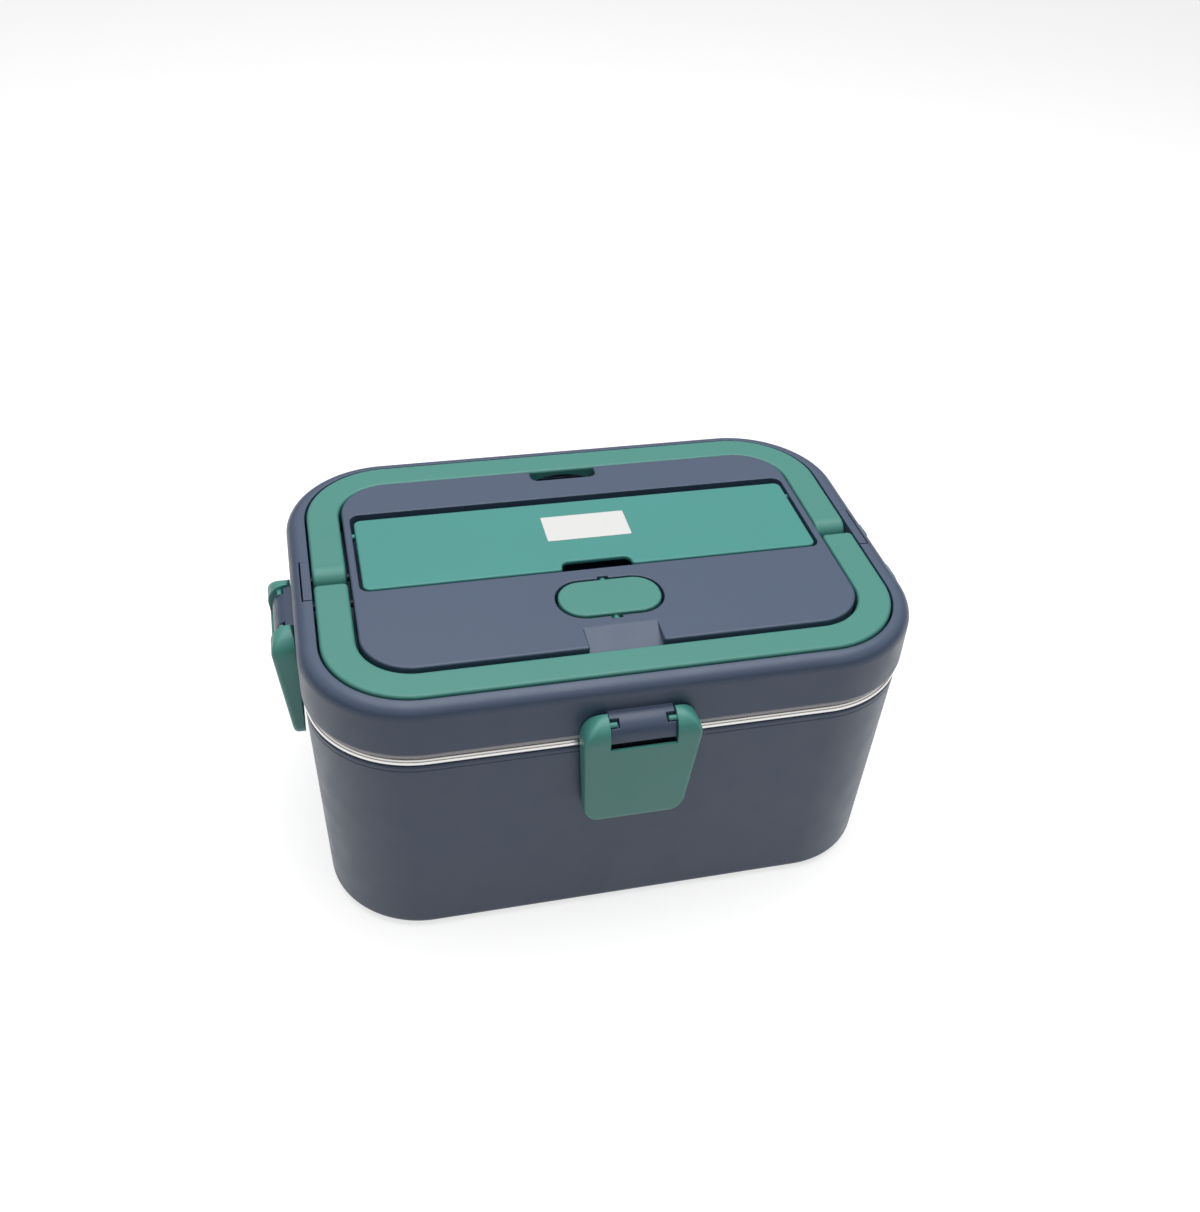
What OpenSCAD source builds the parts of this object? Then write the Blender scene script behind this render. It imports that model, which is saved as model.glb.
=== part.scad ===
// Electric lunch box: a drafted plastic body round a heated well, a lift-out steel
// container, and a lid with four side latches, two folding handles, a cutlery
// compartment and a steam-vent rocker. Millimetres, +Z up, the front is -Y, and the
// origin is on the ground under the middle of the box.

/* [Plan] */
// Length of the lid, left to right
plan_l = 236; // [226:1:256]
// Width of the lid, front to back
plan_w = 160.4; // [156:0.4:176]
// Radius of the lid's upright corners
corner_r = 42; // [40:0.5:46]

/* [Body] */
// Height of the body's lip above the ground
body_h = 93.5; // [84:0.5:110]
// How far the body's lip stands inside the lid's outline
body_step = 1; // [0.6:0.1:2]
// How far the body's wall leans in from its top edge to its foot
body_draft = 3.2; // [1:0.1:5]
// Thickness of the body's wall
body_wall = 2.2; // [1.6:0.1:2.8]
// Rounding of the body's bottom edge
body_fillet = 3.5; // [2:0.1:4]
// Width of the ring that the base cover is screwed to
ledge_w = 7; // [6.6:0.2:8]
// Thickness of that ring
ledge_t = 1.8; // [1.4:0.1:2.4]
// Thickness of the base cover
cover_t = 2.7; // [2.2:0.1:3.4]
// Height of the rubber feet below the body
foot_h = 1.5; // [1:0.1:4]
// Radius of the rubber feet
foot_r = 6.5; // [4:0.5:8]
// How deep the feet sit in the base cover
foot_seat = 1.2; // [0.6:0.1:1.6]

/* [Well and heater] */
// Height of the space that holds the heater under the well
bay_h = 17.8; // [16.8:0.2:22]
// Thickness of the well's wall and floor
well_wall = 1.8; // [1.4:0.1:2.2]
// Thickness of the well's lip, which caps the body
lip_t = 2; // [1.6:0.1:3]
// Thickness of the heating plate's flange
plate_flange_t = 2; // [1.5:0.1:3]
// How far the heating plate's pad stands above the well's floor
pad_stand = 1; // [0.6:0.1:2]
// Length of the flat tube that holds the heating elements
heater_l = 80; // [70:1:96]
// Width of that tube
heater_w = 56; // [46:1:60]
// Height of that tube
heater_t = 7; // [6:0.1:7.6]
// Number of ceramic heating elements
element_count = 4; // [3:1:5]
// Radius of the thermal cutout's body
cutout_r = 7.6; // [6:0.2:9]
// Radius of the leads
lead_r = 1.1; // [0.8:0.05:1.3]

/* [Power inlet] */
// Width of the inlet's block
inlet_w = 22; // [18:0.5:26]
// Height of the inlet's block
inlet_h = 14; // [11:0.5:14.5]
// Depth of the inlet's block
inlet_d = 18; // [15:0.5:20]
// Thickness of the inlet's walls
inlet_wall = 2.5; // [1.6:0.1:3]
// Distance between the inlet's two pins
pin_pitch = 8; // [7:0.5:10]

/* [Container] */
// How far the container's wall stands inside the lid's outline
pot_inset = 13; // [12.4:0.1:16]
// Thickness of the container's sheet steel
pot_wall = 0.7; // [0.5:0.1:1.2]
// Gap between the container and the well
pot_gap = 0.6; // [0.4:0.05:1]
// Outer rounding of the container's bottom edge
pot_fillet = 8; // [5:0.5:12]
// Radius of the container's rolled rim
rim_r = 1.6; // [1.2:0.1:2]
// How far the rolled rim stands inside the lid's outline
rim_step = 0.8; // [0.6:0.1:1.6]

/* [Lid] */
// Height of the lid's side wall
lid_h = 21.4; // [20.6:0.2:26]
// Rounding of the lid's top edge
lid_edge_r = 5.4; // [3:0.2:5.6]
// Thickness of the lid's wall
lid_wall = 2.4; // [2:0.1:2.8]
// Thickness of the lid's top skin and deck
skin_t = 2; // [1.6:0.1:2.4]
// Height of the inner lid's visible edge
band_t = 2.35; // [1.8:0.05:3]
// Thickness of the silicone gasket
gasket_t = 0.7; // [0.5:0.1:1.2]
// How deep the inner lid reaches into the container
plug_depth = 8; // [5:0.5:12]
// Thickness of the inner lid's floor and wall
plug_wall = 1.8; // [1.4:0.1:2.4]

/* [Handles] */
// Inset of the handle groove at the left and right sides
groove_side = 7.7; // [7:0.1:9]
// Inset of the handle groove at the front and back
groove_front = 5.8; // [5.6:0.1:7]
// How much smaller the groove's corner radius is than the lid's
groove_corner = 7.4; // [6:0.2:9]
// Depth of the handle groove below the lid's top
groove_depth = 12.25; // [12.1:0.05:13]
// Gap between the groove's outer wall and the handles
groove_gap = 0.8; // [0.5:0.1:1.2]
// Width of the handles' bar
handle_w = 12.9; // [11.5:0.1:14]
// Height of the handles' bar
handle_h = 8.4; // [7.6:0.1:9]
// Rounding of the handles' top edges
handle_edge = 1.4; // [0.6:0.1:2]
// How far the handles stand above the lid's top edge
handle_rise = 0.65; // [0.3:0.05:1]
// Distance of the front handle's pivot in front of the middle
front_pivot = 10.5; // [10.3:0.1:13]
// Distance of the back handle's pivot behind the middle
back_pivot = 6; // [5.4:0.1:7]
// Height of the handles' top face above their pivots
knuckle_r = 5.9; // [5.4:0.1:6]
// Radius of the steel pins that the handles turn on
handle_pin_r = 1.5; // [1.2:0.1:1.8]
// Width of the clips that hold the pins down
clip_w = 3.5; // [3:0.1:3.8]

/* [Top plate] */
// Gap between the handles and the top plate
plate_gap = 1.2; // [0.8:0.1:1.6]
// Height of the top plate above the lid's top edge
plate_rise = 1.65; // [1.2:0.05:2.4]
// Rounding of the top plate's edge
plate_edge = 0.9; // [0.4:0.1:1.4]
// Thickness of the plate's wall beside the cutlery tray
tray_side = 2.9; // [2.9:0.1:5]
// Width of the finger openings in the cover and the plate
finger_w = 28; // [20:1:36]
// Depth of the finger opening at the plate's back edge
finger_d = 7.3; // [5:0.1:9]
// Length of the slope at the plate's front edge
ramp_l = 11.1; // [9:0.1:12.6]
// Depth of that slope at the edge
ramp_d = 5; // [3:0.1:6]

/* [Cutlery cover] */
// Width of the cutlery cover, front to back
cover_w = 46.3; // [40:0.1:47.5]
// Distance of the cutlery cover's front edge in front of the middle
cover_front = 11.9; // [11:0.1:12.5]
// Thickness of the cutlery cover
cover_skin = 2.2; // [1.6:0.1:2.4]
// Height of the cutlery cover's edge
cover_skirt = 4; // [3.4:0.1:5]
// Gap beside the cutlery cover
side_gap = 1.3; // [0.8:0.1:1.6]
// Gap in front of the cutlery cover
front_gap = 1.1; // [0.8:0.1:1.4]
// Gap behind the cutlery cover
back_gap = 3.8; // [2:0.1:4.4]
// Distance of the cutlery cover's hinge in front of its back edge
hinge_back = 8.1; // [6.5:0.1:8.4]
// Depth of the finger notch in the cover's front edge
notch_d = 5; // [3:0.5:7]
// Length of the blank label
label_l = 34.8; // [24:0.2:60]
// Width of the blank label
label_w = 16.8; // [12:0.1:20]

/* [Vent rocker] */
// Length of the vent rocker
rocker_l = 40; // [34:1:46]
// Width of the vent rocker
rocker_w = 21; // [18:0.5:22]
// Thickness of the vent rocker
rocker_h = 3.8; // [3:0.1:4.4]
// Distance of the vent rocker's middle in front of the lid's middle
rocker_front = 31.25; // [30:0.25:32]
// Gap round the vent rocker
rocker_gap = 1.1; // [0.8:0.1:1.4]
// Radius of the steam vent
vent_r = 3; // [2:0.1:3.5]

/* [Latches] */
// Width of a latch across its ears
latch_top_w = 44.2; // [42:0.2:54]
// Width of a latch at its bottom edge
latch_foot_w = 39.6; // [36:0.2:42]
// Length of a latch below its pivot
latch_drop = 51; // [44:1:58]
// Distance of the latches' pivots below the lid's top
latch_below = 13.65; // [13.2:0.05:14.1]
// Width of the lid's block between a latch's ears
block_w = 24.4; // [20:0.2:27]
// How far that block stands out of the lid
block_d = 8; // [7.6:0.1:8.6]
// Radius of the latch pins
latch_pin_r = 1.3; // [1:0.05:1.5]
// Thickness of a latch's walls
latch_wall = 2.2; // [1.8:0.1:2.6]
// Width of the catch under each latch
catch_w = 20; // [12:1:26]

/* [Hidden] */
$fn = 48;

slate = "#48515c";
green = "#4f9a8c";
cover_green = "#56a096";
steel = "#c9ccce";
aluminium = "#b4b8bb";
milky = "#c9cfd1";
silicone = "#b9b3ab";
black = "#26282a";
rubber = "#2f3133";
brass = "#c8a24a";
brown = "#8a4b32";
blue = "#3f6c9c";

// Clearances: beside a moving part, beside a fixed part, round a pin, and past a cut
touch = 0.3;
slip = 0.1;
run = 0.06;
over = 1;

// Corner centres that the body, the container and the lid share
cx = plan_l / 2 - corner_r;
cy = plan_w / 2 - corner_r;
// Corner centres that the groove, the handles and the top plate share
groove_r = corner_r - groove_corner;
gx = plan_l / 2 - groove_side - groove_r;
gy = plan_w / 2 - groove_front - groove_r;

// Levels, from the ground up
seal_gap = 0.2;
z_cover = foot_h + cover_t;
z_ledge = z_cover + ledge_t;
z_flange = z_cover + bay_h;
z_floor = z_flange + plate_flange_t;
z_pot = z_floor + well_wall + pad_stand;
z_shell = body_h - lip_t;
z_rim = body_h + touch + rim_r;
z_seal = z_rim + rim_r + seal_gap;
z_band = z_seal + gasket_t;
z_lid = z_band + band_t;
z_top = z_lid + lid_h;
z_deck = z_top - groove_depth;
z_plate = z_top + plate_rise;
z_handle = z_top + handle_rise;
z_pivot = z_handle - knuckle_r;
z_plug = z_seal - seal_gap - plug_depth;

// Screws and their bosses
screw_r = 1.45;
head_r = 2.7;
head_h = 1.6;
boss_r = 3.4;

// Body
lip_r = corner_r - body_step;
foot_edge_r = lip_r - body_draft;
slope = body_draft / (z_shell - foot_h);
lean = atan(slope);
open_r = foot_edge_r - body_fillet - 0.8;
ledge_r = open_r - ledge_w;
base_boss_h = 9;
boss_at = (ledge_r + boss_r + slip) * sin(45);
foot_margin = 2;
foot_x = cx + boss_at - head_r - foot_r - foot_margin;
foot_y = cy + boss_at - head_r - foot_r - foot_margin;
foot_edge = 0.8;
skirt_r = wall_in(z_shell) - touch;
skirt_t = 1.6;
skirt_h = 4;

// Container, well and heater
pot_r = corner_r - pot_inset;
well_r = pot_r + pot_gap;
rim_out = corner_r - rim_step;
plate_inset = 11.6;
flange_r = well_r - plate_inset;
pad_r = flange_r - 6;
pad_edge = 0.5;
strap_w = 12;
strap_t = 1.2;
strap_x = heater_l / 2 - strap_w;
z_strap = z_flange - heater_t;
strap_boss_r = 3.2;
strap_boss_y = cy + flange_r + strap_boss_r + 2.6;
strap_end = 1.4;
strap_screw_l = 6.6;
tube_wall = 1.2;
element_gap = 2;
element_end = 2;
element_l = (heater_l - 2 * element_end - element_gap * (element_count - 1)) / element_count;
element_w = heater_w - 2 * tube_wall - 6;
cutout_x = (heater_l / 2 + cx + pad_r) / 2;
cutout_h = 6.4;
cutout_lip = 2.4;
cutout_lip_h = 1.2;
blade_w = 4.8;
blade_y = 4;
blade_t = 0.8;

// Power inlet, in the middle of the back, and its leads
inlet_face = cy + wall_out(z_ledge) - touch;
inlet_back = inlet_face - inlet_d;
inlet_z = z_ledge + inlet_h / 2;
inlet_ear = 3;
inlet_flange = 2;
pin_r = 1.2;
pin_tail = 4;
pin_y = inlet_back - pin_tail;
lead_z = z_cover + 3.3;
lead_bend = 2.5;
lead_run_y = pin_y - 5;
lead_end = heater_l / 2 - element_end;
lead_end_z = z_strap + heater_t / 2;
lead_end_y = 14;
lead_rise = 8;

// Inner lid and its vent
plug_r = pot_r - pot_wall - 2 * touch;
head_cover = 1.9;
cup_h = head_h + 2.4;
inner_screw_l = 11;
inner_screw_dx = 8;
inner_screw_dy = 5.8;
inner_screw_x = cx + inner_screw_dx;
inner_screw_y = cy + inner_screw_dy;
vent_x = -rocker_l / 4;
vent_y = -rocker_front;
vent_wall = 1.5;
z_vent = z_deck + 5.6;
gasket_in = pot_r + 1;
gasket_out = rim_out - 0.8;

// Handles
bar_out = groove_r - groove_gap;
bar_in = bar_out - handle_w;
channel_wall = 2.2;
channel_h = 4.8;
leg_solid = 12;
end_step = 6.3;
end_round = 2;
arch_r = 28.6;
arch_rise = handle_h - 2.7;
clip_front = front_pivot + 1.9;
clip_back = back_pivot + 6;
clip_x = plan_l / 2 - groove_side;
bed_margin = 0.6;
z_clip = z_pivot + handle_pin_r + slip;
pin_out = clip_x + 1.9;

// Top plate and what it carries
plate_r = bar_in - plate_gap;
plate_x = gx + plate_r;
plate_y = gy + plate_r;
pin_in = plate_x - 1.9;
pocket_x = plate_x - tray_side;
pocket_front = cover_front + front_gap;
cover_back = cover_w - cover_front;
pocket_back = cover_back + back_gap;
pocket_r = 4;
pocket_wall = 1.8;
pocket_floor = 1.6;
cover_x = pocket_x - side_gap;
cover_r = 3;
cover_side = 1.8;
finger_r = 3;
hinge_y = cover_back - hinge_back;
hinge_r = 1.2;
hinge_l = 2.5;
lug_w = 6;
lug_d = 5.2;
z_hinge = z_plate - 2.5;
label_x = 1.2;
label_back = 10.3;
label_t = 0.15;
label_r = 0.6;
rocker_r = rocker_w / 2 - 0.5;
rocker_x = rocker_l / 2 - rocker_r;
rocker_y = rocker_w / 2 - rocker_r;
rocker_rise = 0.4;
rocker_edge = 0.8;
rocker_pin_r = 1.2;
rocker_pin_l = 2.4;
rocker_ring_h = 7.3;
z_rocker = z_plate + rocker_rise;
z_tip = z_plate - 2;
plug_over = 0.9;
plate_screw_x = 60;
plate_screw_l = 9;
plate_screw_y = [(pocket_back + plate_y) / 2, -(pocket_front + 8)];

// Latches
latch_d = 4.8;
z_latch = z_top - latch_below;
latch_in = 0.5;
face_d = 9.5;
face_slope = 0.107;
ear_top = 3;
ear_clear = latch_d - latch_in;
ear_in = latch_d - sqrt(pow(ear_clear, 2) - pow(ear_top, 2));
ear_round = face_d - ear_in;
face_top = ear_round - ear_top;
ear_corner = 9.5;
foot_corner = 7.5;
foot_round = 4;
block_drop = 11.15;
window_w = block_w + 2 * touch;
z_window = z_lid - 1.25;
latch_pin_l = 3;
latch_reach = 20;
hollow_top = 9;
catch_h = 3;
catch_out = 0.2;
z_catch = z_shell - 7.5;
hook_h = 2.5;
z_hook = z_catch - catch_h - latch_in - hook_h;

// Radius of the body's outer wall at height z
function wall_out(z) = foot_edge_r + (z - foot_h) * slope;
// Radius of the body's inner wall at height z
function wall_in(z) = wall_out(z) - body_wall / cos(lean);
// Depth of a latch's outer face at a distance below its pivot
function face_out(z) = face_d - max(z - face_top, 0) * face_slope;
function unit(v) = v / norm(v);
function frame_of(a, b, c, p) = [
    [a.x, b.x, c.x, p.x],
    [a.y, b.y, c.y, p.y],
    [a.z, b.z, c.z, p.z],
    [0, 0, 0, 1]];

// Carries a profile round a rounded rectangle: its x runs out from the corner centres
module around(x, y) {
    corners = [[x, y], [-x, y], [-x, -y], [x, -y]];
    for (q = [0:3])
        translate(corners[q]) rotate(90 * q) rotate_extrude(angle = 90) children();
    for (s = [0, 1]) {
        mirror([0, s, 0]) translate([-x, y, 0]) rotate([90, 0, 90])
            linear_extrude(2 * x) children();
        mirror([s, 0, 0]) translate([x, y, 0]) rotate([90, 0, 0])
            linear_extrude(2 * y) children();
    }
}

// The same with the middle filled between two levels
module filled(x, y, z0, z1) {
    around(x, y) children();
    translate([-x, -y, z0]) cube([2 * x, 2 * y, z1 - z0]);
}

// A rounded slab of corner radius r
module slab(x, y, r, z0, z1) {
    filled(x, y, z0, z1) translate([0, z0]) square([r, z1 - z0]);
}

// A rounded slab whose top edge is rounded by e
module soft_slab(x, y, r, z0, z1, e) {
    filled(x, y, z0, z1) {
        translate([0, z0]) square([r - e, z1 - z0]);
        translate([0, z0]) square([r, z1 - z0 - e]);
        translate([r - e, z1 - e]) circle(e);
    }
}

// A rounded box between two corners of the XY plane
module soft_box(x0, x1, y0, y1, z0, z1, r) {
    translate([(x0 + x1) / 2, (y0 + y1) / 2, 0])
        slab((x1 - x0) / 2 - r, (y1 - y0) / 2 - r, r, z0, z1);
}

// Copies a piece to four places about the middle
module at_four(x, y) {
    for (i = [-1, 1], j = [-1, 1]) translate([i * x, j * y, 0]) children();
}

// Mirrors a piece from the right to the left
module both_sides() {
    for (i = [0, 1]) mirror([i, 0, 0]) children();
}

// Turns a piece made at the front to a side: 0 front, 1 right, 2 back, 3 left
module to_side(side) {
    reach = (side % 2 == 0) ? plan_w / 2 : plan_l / 2;
    rotate(90 * side) translate([0, -reach, 0]) children();
}

// A screw with its head below z and its shank above
module screw(z, length) {
    translate([0, 0, z - head_h]) cylinder(r = head_r, h = head_h);
    translate([0, 0, z]) cylinder(r = screw_r, h = length);
}

// A lead along square-cornered points, each corner rounded by lead_bend
module lead(points) {
    last = len(points) - 1;
    for (i = [0:last - 1]) {
        way = unit(points[i + 1] - points[i]);
        from = points[i] + way * (i == 0 ? 0 : lead_bend);
        to = points[i + 1] - way * (i == last - 1 ? 0 : lead_bend);
        lead_rod(from, way, norm(to - from));
        if (i < last - 1)
            lead_corner(points[i + 1], way, unit(points[i + 2] - points[i + 1]));
    }
}

module lead_rod(from, way, length) {
    side = abs(way.z) > 0.5 ? [1, 0, 0] : [0, 0, 1];
    multmatrix(frame_of(side, cross(way, side), way, from))
        cylinder(r = lead_r, h = length);
}

module lead_corner(corner, u, v) {
    centre = corner + (v - u) * lead_bend;
    multmatrix(frame_of(-v, u, cross(u, v), centre)) rotate_extrude(angle = 90)
        translate([lead_bend, 0]) circle(lead_r);
}

// Filled profile of the body: a leaning wall over a rounded bottom edge
module body_profile() {
    zc = foot_h + body_fillet;
    xc = wall_out(zc) - body_fillet / cos(lean);
    polygon([
        [0, foot_h], [xc, foot_h], [xc, zc],
        [xc + body_fillet * cos(lean), zc - body_fillet * sin(lean)],
        [lip_r, z_shell], [0, z_shell]]);
    translate([xc, zc]) circle(body_fillet);
}

module base_screw_places() {
    at_four(cx + boss_at, cy + boss_at) children();
}

module outer_shell() {
    color(slate) difference() {
        union() {
            around(cx, cy) difference() {
                body_profile();
                polygon([
                    [-over, foot_h - over], [open_r, foot_h - over], [open_r, z_cover],
                    [ledge_r, z_cover], [ledge_r, z_ledge], [wall_in(z_ledge), z_ledge],
                    [wall_in(z_shell + over), z_shell + over], [-over, z_shell + over]]);
            }
            base_screw_places() translate([0, 0, z_ledge])
                cylinder(r = boss_r, h = base_boss_h);
            for (side = [0:3]) to_side(side) latch_catch();
        }
        base_screw_places() translate([0, 0, z_cover - over])
            cylinder(r = screw_r + run, h = base_boss_h + ledge_t);
        translate([-inlet_w / 2 - slip, inlet_back, z_ledge])
            cube([inlet_w + 2 * slip, 2 * inlet_d, inlet_h + slip]);
    }
}

// The rib that a latch closes over
module latch_catch() {
    depth = body_step + body_wall + catch_out;
    translate([-catch_w / 2, -catch_out, z_catch - catch_h]) cube([catch_w, depth, catch_h]);
}

module inner_well() {
    hole_r = pad_r + touch;
    color(slate) difference() {
        union() {
            around(cx, cy) {
                translate([well_r, z_floor]) square([well_wall, z_shell - z_floor]);
                translate([hole_r, z_floor]) square([well_r + well_wall - hole_r, well_wall]);
                translate([well_r, z_shell]) square([lip_r - well_r, lip_t]);
                translate([skirt_r - skirt_t, z_shell - skirt_h]) square([skirt_t, skirt_h]);
            }
            at_four(strap_x, strap_boss_y) translate([0, 0, z_strap])
                cylinder(r = strap_boss_r, h = z_floor - z_strap);
        }
        at_four(strap_x, strap_boss_y) translate([0, 0, z_strap - over])
            cylinder(r = screw_r + run, h = strap_screw_l + over);
    }
}

module base_cover() {
    color(slate) difference() {
        slab(cx, cy, open_r - touch, foot_h, z_cover);
        at_four(foot_x, foot_y) translate([0, 0, foot_h - over])
            cylinder(r = foot_r + slip, h = foot_seat + over);
        base_screw_places() translate([0, 0, foot_h - over]) {
            cylinder(r = screw_r + slip, h = cover_t + 2 * over);
            cylinder(r = head_r + touch, h = head_h + over);
        }
    }
}

module rubber_feet() {
    height = foot_h + foot_seat;
    color(rubber) at_four(foot_x, foot_y) rotate_extrude() {
        square([foot_r - foot_edge, height]);
        translate([0, foot_edge]) square([foot_r, height - foot_edge]);
        translate([foot_r - foot_edge, foot_edge]) circle(foot_edge);
    }
}

module base_screws() {
    color(steel) base_screw_places() screw(foot_h + head_h, base_boss_h);
}

module heating_plate() {
    color(aluminium) {
        slab(cx, cy, flange_r, z_flange, z_floor);
        soft_slab(cx, cy, pad_r, z_floor, z_pot, pad_edge);
    }
}

module heater_tube() {
    color(aluminium) translate([-heater_l / 2, -heater_w / 2, z_strap]) difference() {
        cube([heater_l, heater_w, heater_t]);
        translate([-over, tube_wall, tube_wall])
            cube([heater_l + 2 * over, heater_w - 2 * tube_wall, heater_t - 2 * tube_wall]);
    }
}

module heating_elements() {
    color(black) for (i = [0:element_count - 1])
        translate([element_end - heater_l / 2 + i * (element_l + element_gap),
            -element_w / 2, z_strap + tube_wall])
            cube([element_l, element_w, heater_t - 2 * tube_wall - slip]);
}

module heater_straps() {
    reach = strap_boss_y + strap_boss_r + strap_end;
    color(steel) for (i = [-1, 1]) translate([i * strap_x, 0, z_strap - strap_t])
        difference() {
            translate([-strap_w / 2, -reach, 0]) cube([strap_w, 2 * reach, strap_t]);
            for (j = [-1, 1]) translate([0, j * strap_boss_y, -over])
                cylinder(r = screw_r + slip, h = strap_t + 2 * over);
        }
}

module strap_screws() {
    color(steel) at_four(strap_x, strap_boss_y) screw(z_strap - strap_t, strap_screw_l);
}

module thermal_cutout() {
    blade_z = lead_z - lead_r - touch;
    color(black) {
        translate([cutout_x, 0, z_flange - cutout_lip_h])
            cylinder(r = cutout_r + cutout_lip, h = cutout_lip_h);
        translate([cutout_x, 0, z_flange - cutout_h]) cylinder(r = cutout_r, h = cutout_h);
        for (j = [-1, 1])
            translate([cutout_x - blade_w / 2, j * blade_y - blade_t / 2, blade_z])
            cube([blade_w, blade_t, z_flange - cutout_h + over - blade_z]);
    }
}

module inlet_pin_places() {
    for (i = [-1, 1]) translate([i * pin_pitch / 2, pin_y, inlet_z]) rotate([-90, 0, 0])
        children();
}

module power_inlet() {
    flange_y = cy + wall_in(z_ledge) - touch - inlet_flange;
    color(black) difference() {
        union() {
            translate([-inlet_w / 2, inlet_back, z_ledge]) cube([inlet_w, inlet_d, inlet_h]);
            translate([-inlet_w / 2 - inlet_ear, flange_y, z_ledge])
                cube([inlet_w + 2 * inlet_ear, inlet_flange, inlet_h + over]);
        }
        translate([inlet_wall - inlet_w / 2, inlet_back + inlet_wall, z_ledge + inlet_wall])
            cube([inlet_w - 2 * inlet_wall, inlet_d, inlet_h - 2 * inlet_wall]);
        inlet_pin_places() cylinder(r = pin_r + run, h = inlet_d);
    }
}

module inlet_pins() {
    color(brass) inlet_pin_places() cylinder(r = pin_r, h = inlet_d);
}

module live_lead() {
    x = pin_pitch / 2;
    color(brown) lead([[x, pin_y, inlet_z], [x, lead_run_y, inlet_z],
        [x, lead_run_y, lead_z], [cutout_x, lead_run_y, lead_z],
        [cutout_x, blade_y + blade_t / 2, lead_z]]);
}

module cutout_lead() {
    x = lead_end + lead_rise;
    color(brown) lead([[cutout_x, -blade_y - blade_t / 2, lead_z],
        [cutout_x, -lead_end_y, lead_z], [x, -lead_end_y, lead_z],
        [x, -lead_end_y, lead_end_z], [lead_end, -lead_end_y, lead_end_z]]);
}

module neutral_lead() {
    x = -pin_pitch / 2;
    end = -lead_end - lead_rise;
    color(blue) lead([[x, pin_y, inlet_z], [x, lead_run_y, inlet_z],
        [x, lead_run_y, lead_z], [end, lead_run_y, lead_z], [end, lead_end_y, lead_z],
        [end, lead_end_y, lead_end_z], [-lead_end, lead_end_y, lead_end_z]]);
}

// Profile of the container: floor, rounded edge, wall, flange and rolled rim
module pot_profile() {
    top = z_rim + rim_r;
    edge = pot_r - pot_fillet;
    translate([0, z_pot]) square([edge, pot_wall]);
    translate([edge, z_pot + pot_fillet]) intersection() {
        difference() {
            circle(pot_fillet);
            circle(pot_fillet - pot_wall);
        }
        translate([0, -pot_fillet]) square(pot_fillet);
    }
    translate([pot_r - pot_wall, z_pot + pot_fillet])
        square([pot_wall, top - z_pot - pot_fillet]);
    translate([pot_r - pot_wall, top - pot_wall])
        square([rim_out - rim_r - pot_r + pot_wall, pot_wall]);
    translate([rim_out - rim_r, z_rim]) circle(rim_r);
}

module steel_container() {
    color(steel) filled(cx, cy, z_pot, z_pot + pot_wall) pot_profile();
}

// The lid's outline as a solid block, which the pin clips follow too
module lid_block() {
    soft_slab(cx, cy, corner_r, z_lid, z_top, lid_edge_r);
}

module inner_screw_places() {
    at_four(inner_screw_x, inner_screw_y) children();
}

module lid_shell() {
    deck_z = z_deck - skin_t;
    color(slate) difference() {
        union() {
            difference() {
                lid_block();
                slab(cx, cy, corner_r - lid_wall, z_lid - over, z_top - skin_t);
            }
            slab(gx, gy, groove_r + skin_t, deck_z, z_top - skin_t);
            both_sides() clip_bed();
            for (side = [0:3]) to_side(side) latch_block();
            inner_screw_places() translate([0, 0, z_plug + cup_h])
                cylinder(r = boss_r, h = deck_z - z_plug - cup_h);
        }
        slab(gx, gy, groove_r, z_deck, z_top + over);
        both_sides() translate([clip_x - over, -clip_front, z_clip])
            cube([clip_w + over, clip_front + clip_back, z_top]);
        handle_pin_places() pin_seat();
        inner_screw_places() translate([0, 0, z_plug])
            cylinder(r = screw_r + run, h = cup_h + inner_screw_l);
        plate_screw_places() translate([0, 0, deck_z - over])
            cylinder(r = screw_r + slip, h = skin_t + 2 * over);
        translate([vent_x, vent_y, deck_z - over])
            cylinder(r = vent_r + vent_wall + touch, h = skin_t + 2 * over);
        for (side = [0:3]) to_side(side) both_sides() latch_pin_seat();
    }
}

// The block between a latch's ears: a quarter round over a straight front
module latch_block() {
    z_round = z_top - block_d - block_drop;
    root = lid_wall / 2;
    translate([-block_w / 2, 0, 0]) rotate([90, 0, 90]) linear_extrude(block_w) {
        translate([-block_d, z_lid]) square([block_d + root, z_round - z_lid]);
        intersection() {
            translate([0, z_round]) circle(block_d);
            translate([-block_d, z_round]) square([block_d + root, block_d]);
        }
    }
}

// An open-topped seat in the end of the block, which holds one of a latch's two pins
module latch_pin_seat() {
    r = latch_pin_r + run;
    translate([block_w / 2 - latch_pin_l - slip, -latch_d, z_latch]) {
        rotate([0, 90, 0]) cylinder(r = r, h = latch_pin_l + over);
        translate([0, -r, 0]) cube([latch_pin_l + over, 2 * r, block_d]);
    }
}

// The solid bed under a pin clip, beside the groove
module clip_bed() {
    translate([clip_x, -clip_front - over, z_deck - skin_t])
        cube([clip_w + bed_margin, clip_front + clip_back + 2 * over,
            z_clip - z_deck + skin_t]);
}

// The four handle pins' places, with z pointing out to the pin's own side
module handle_pin_places() {
    for (i = [-1, 1], y = [-front_pivot, back_pivot])
        translate([0, y, z_pivot]) rotate([0, i * 90, 0]) children();
}

// A handle pin's seat in the rim: half round below, open to the clip above
module pin_seat() {
    r = handle_pin_r + run;
    length = pin_out + touch - clip_x + over;
    translate([0, 0, clip_x - over]) {
        cylinder(r = r, h = length);
        for (i = [-1, 1]) translate([i > 0 ? 0 : -r - slip, -r, 0])
            cube([r + slip, 2 * r, length]);
    }
}

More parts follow.
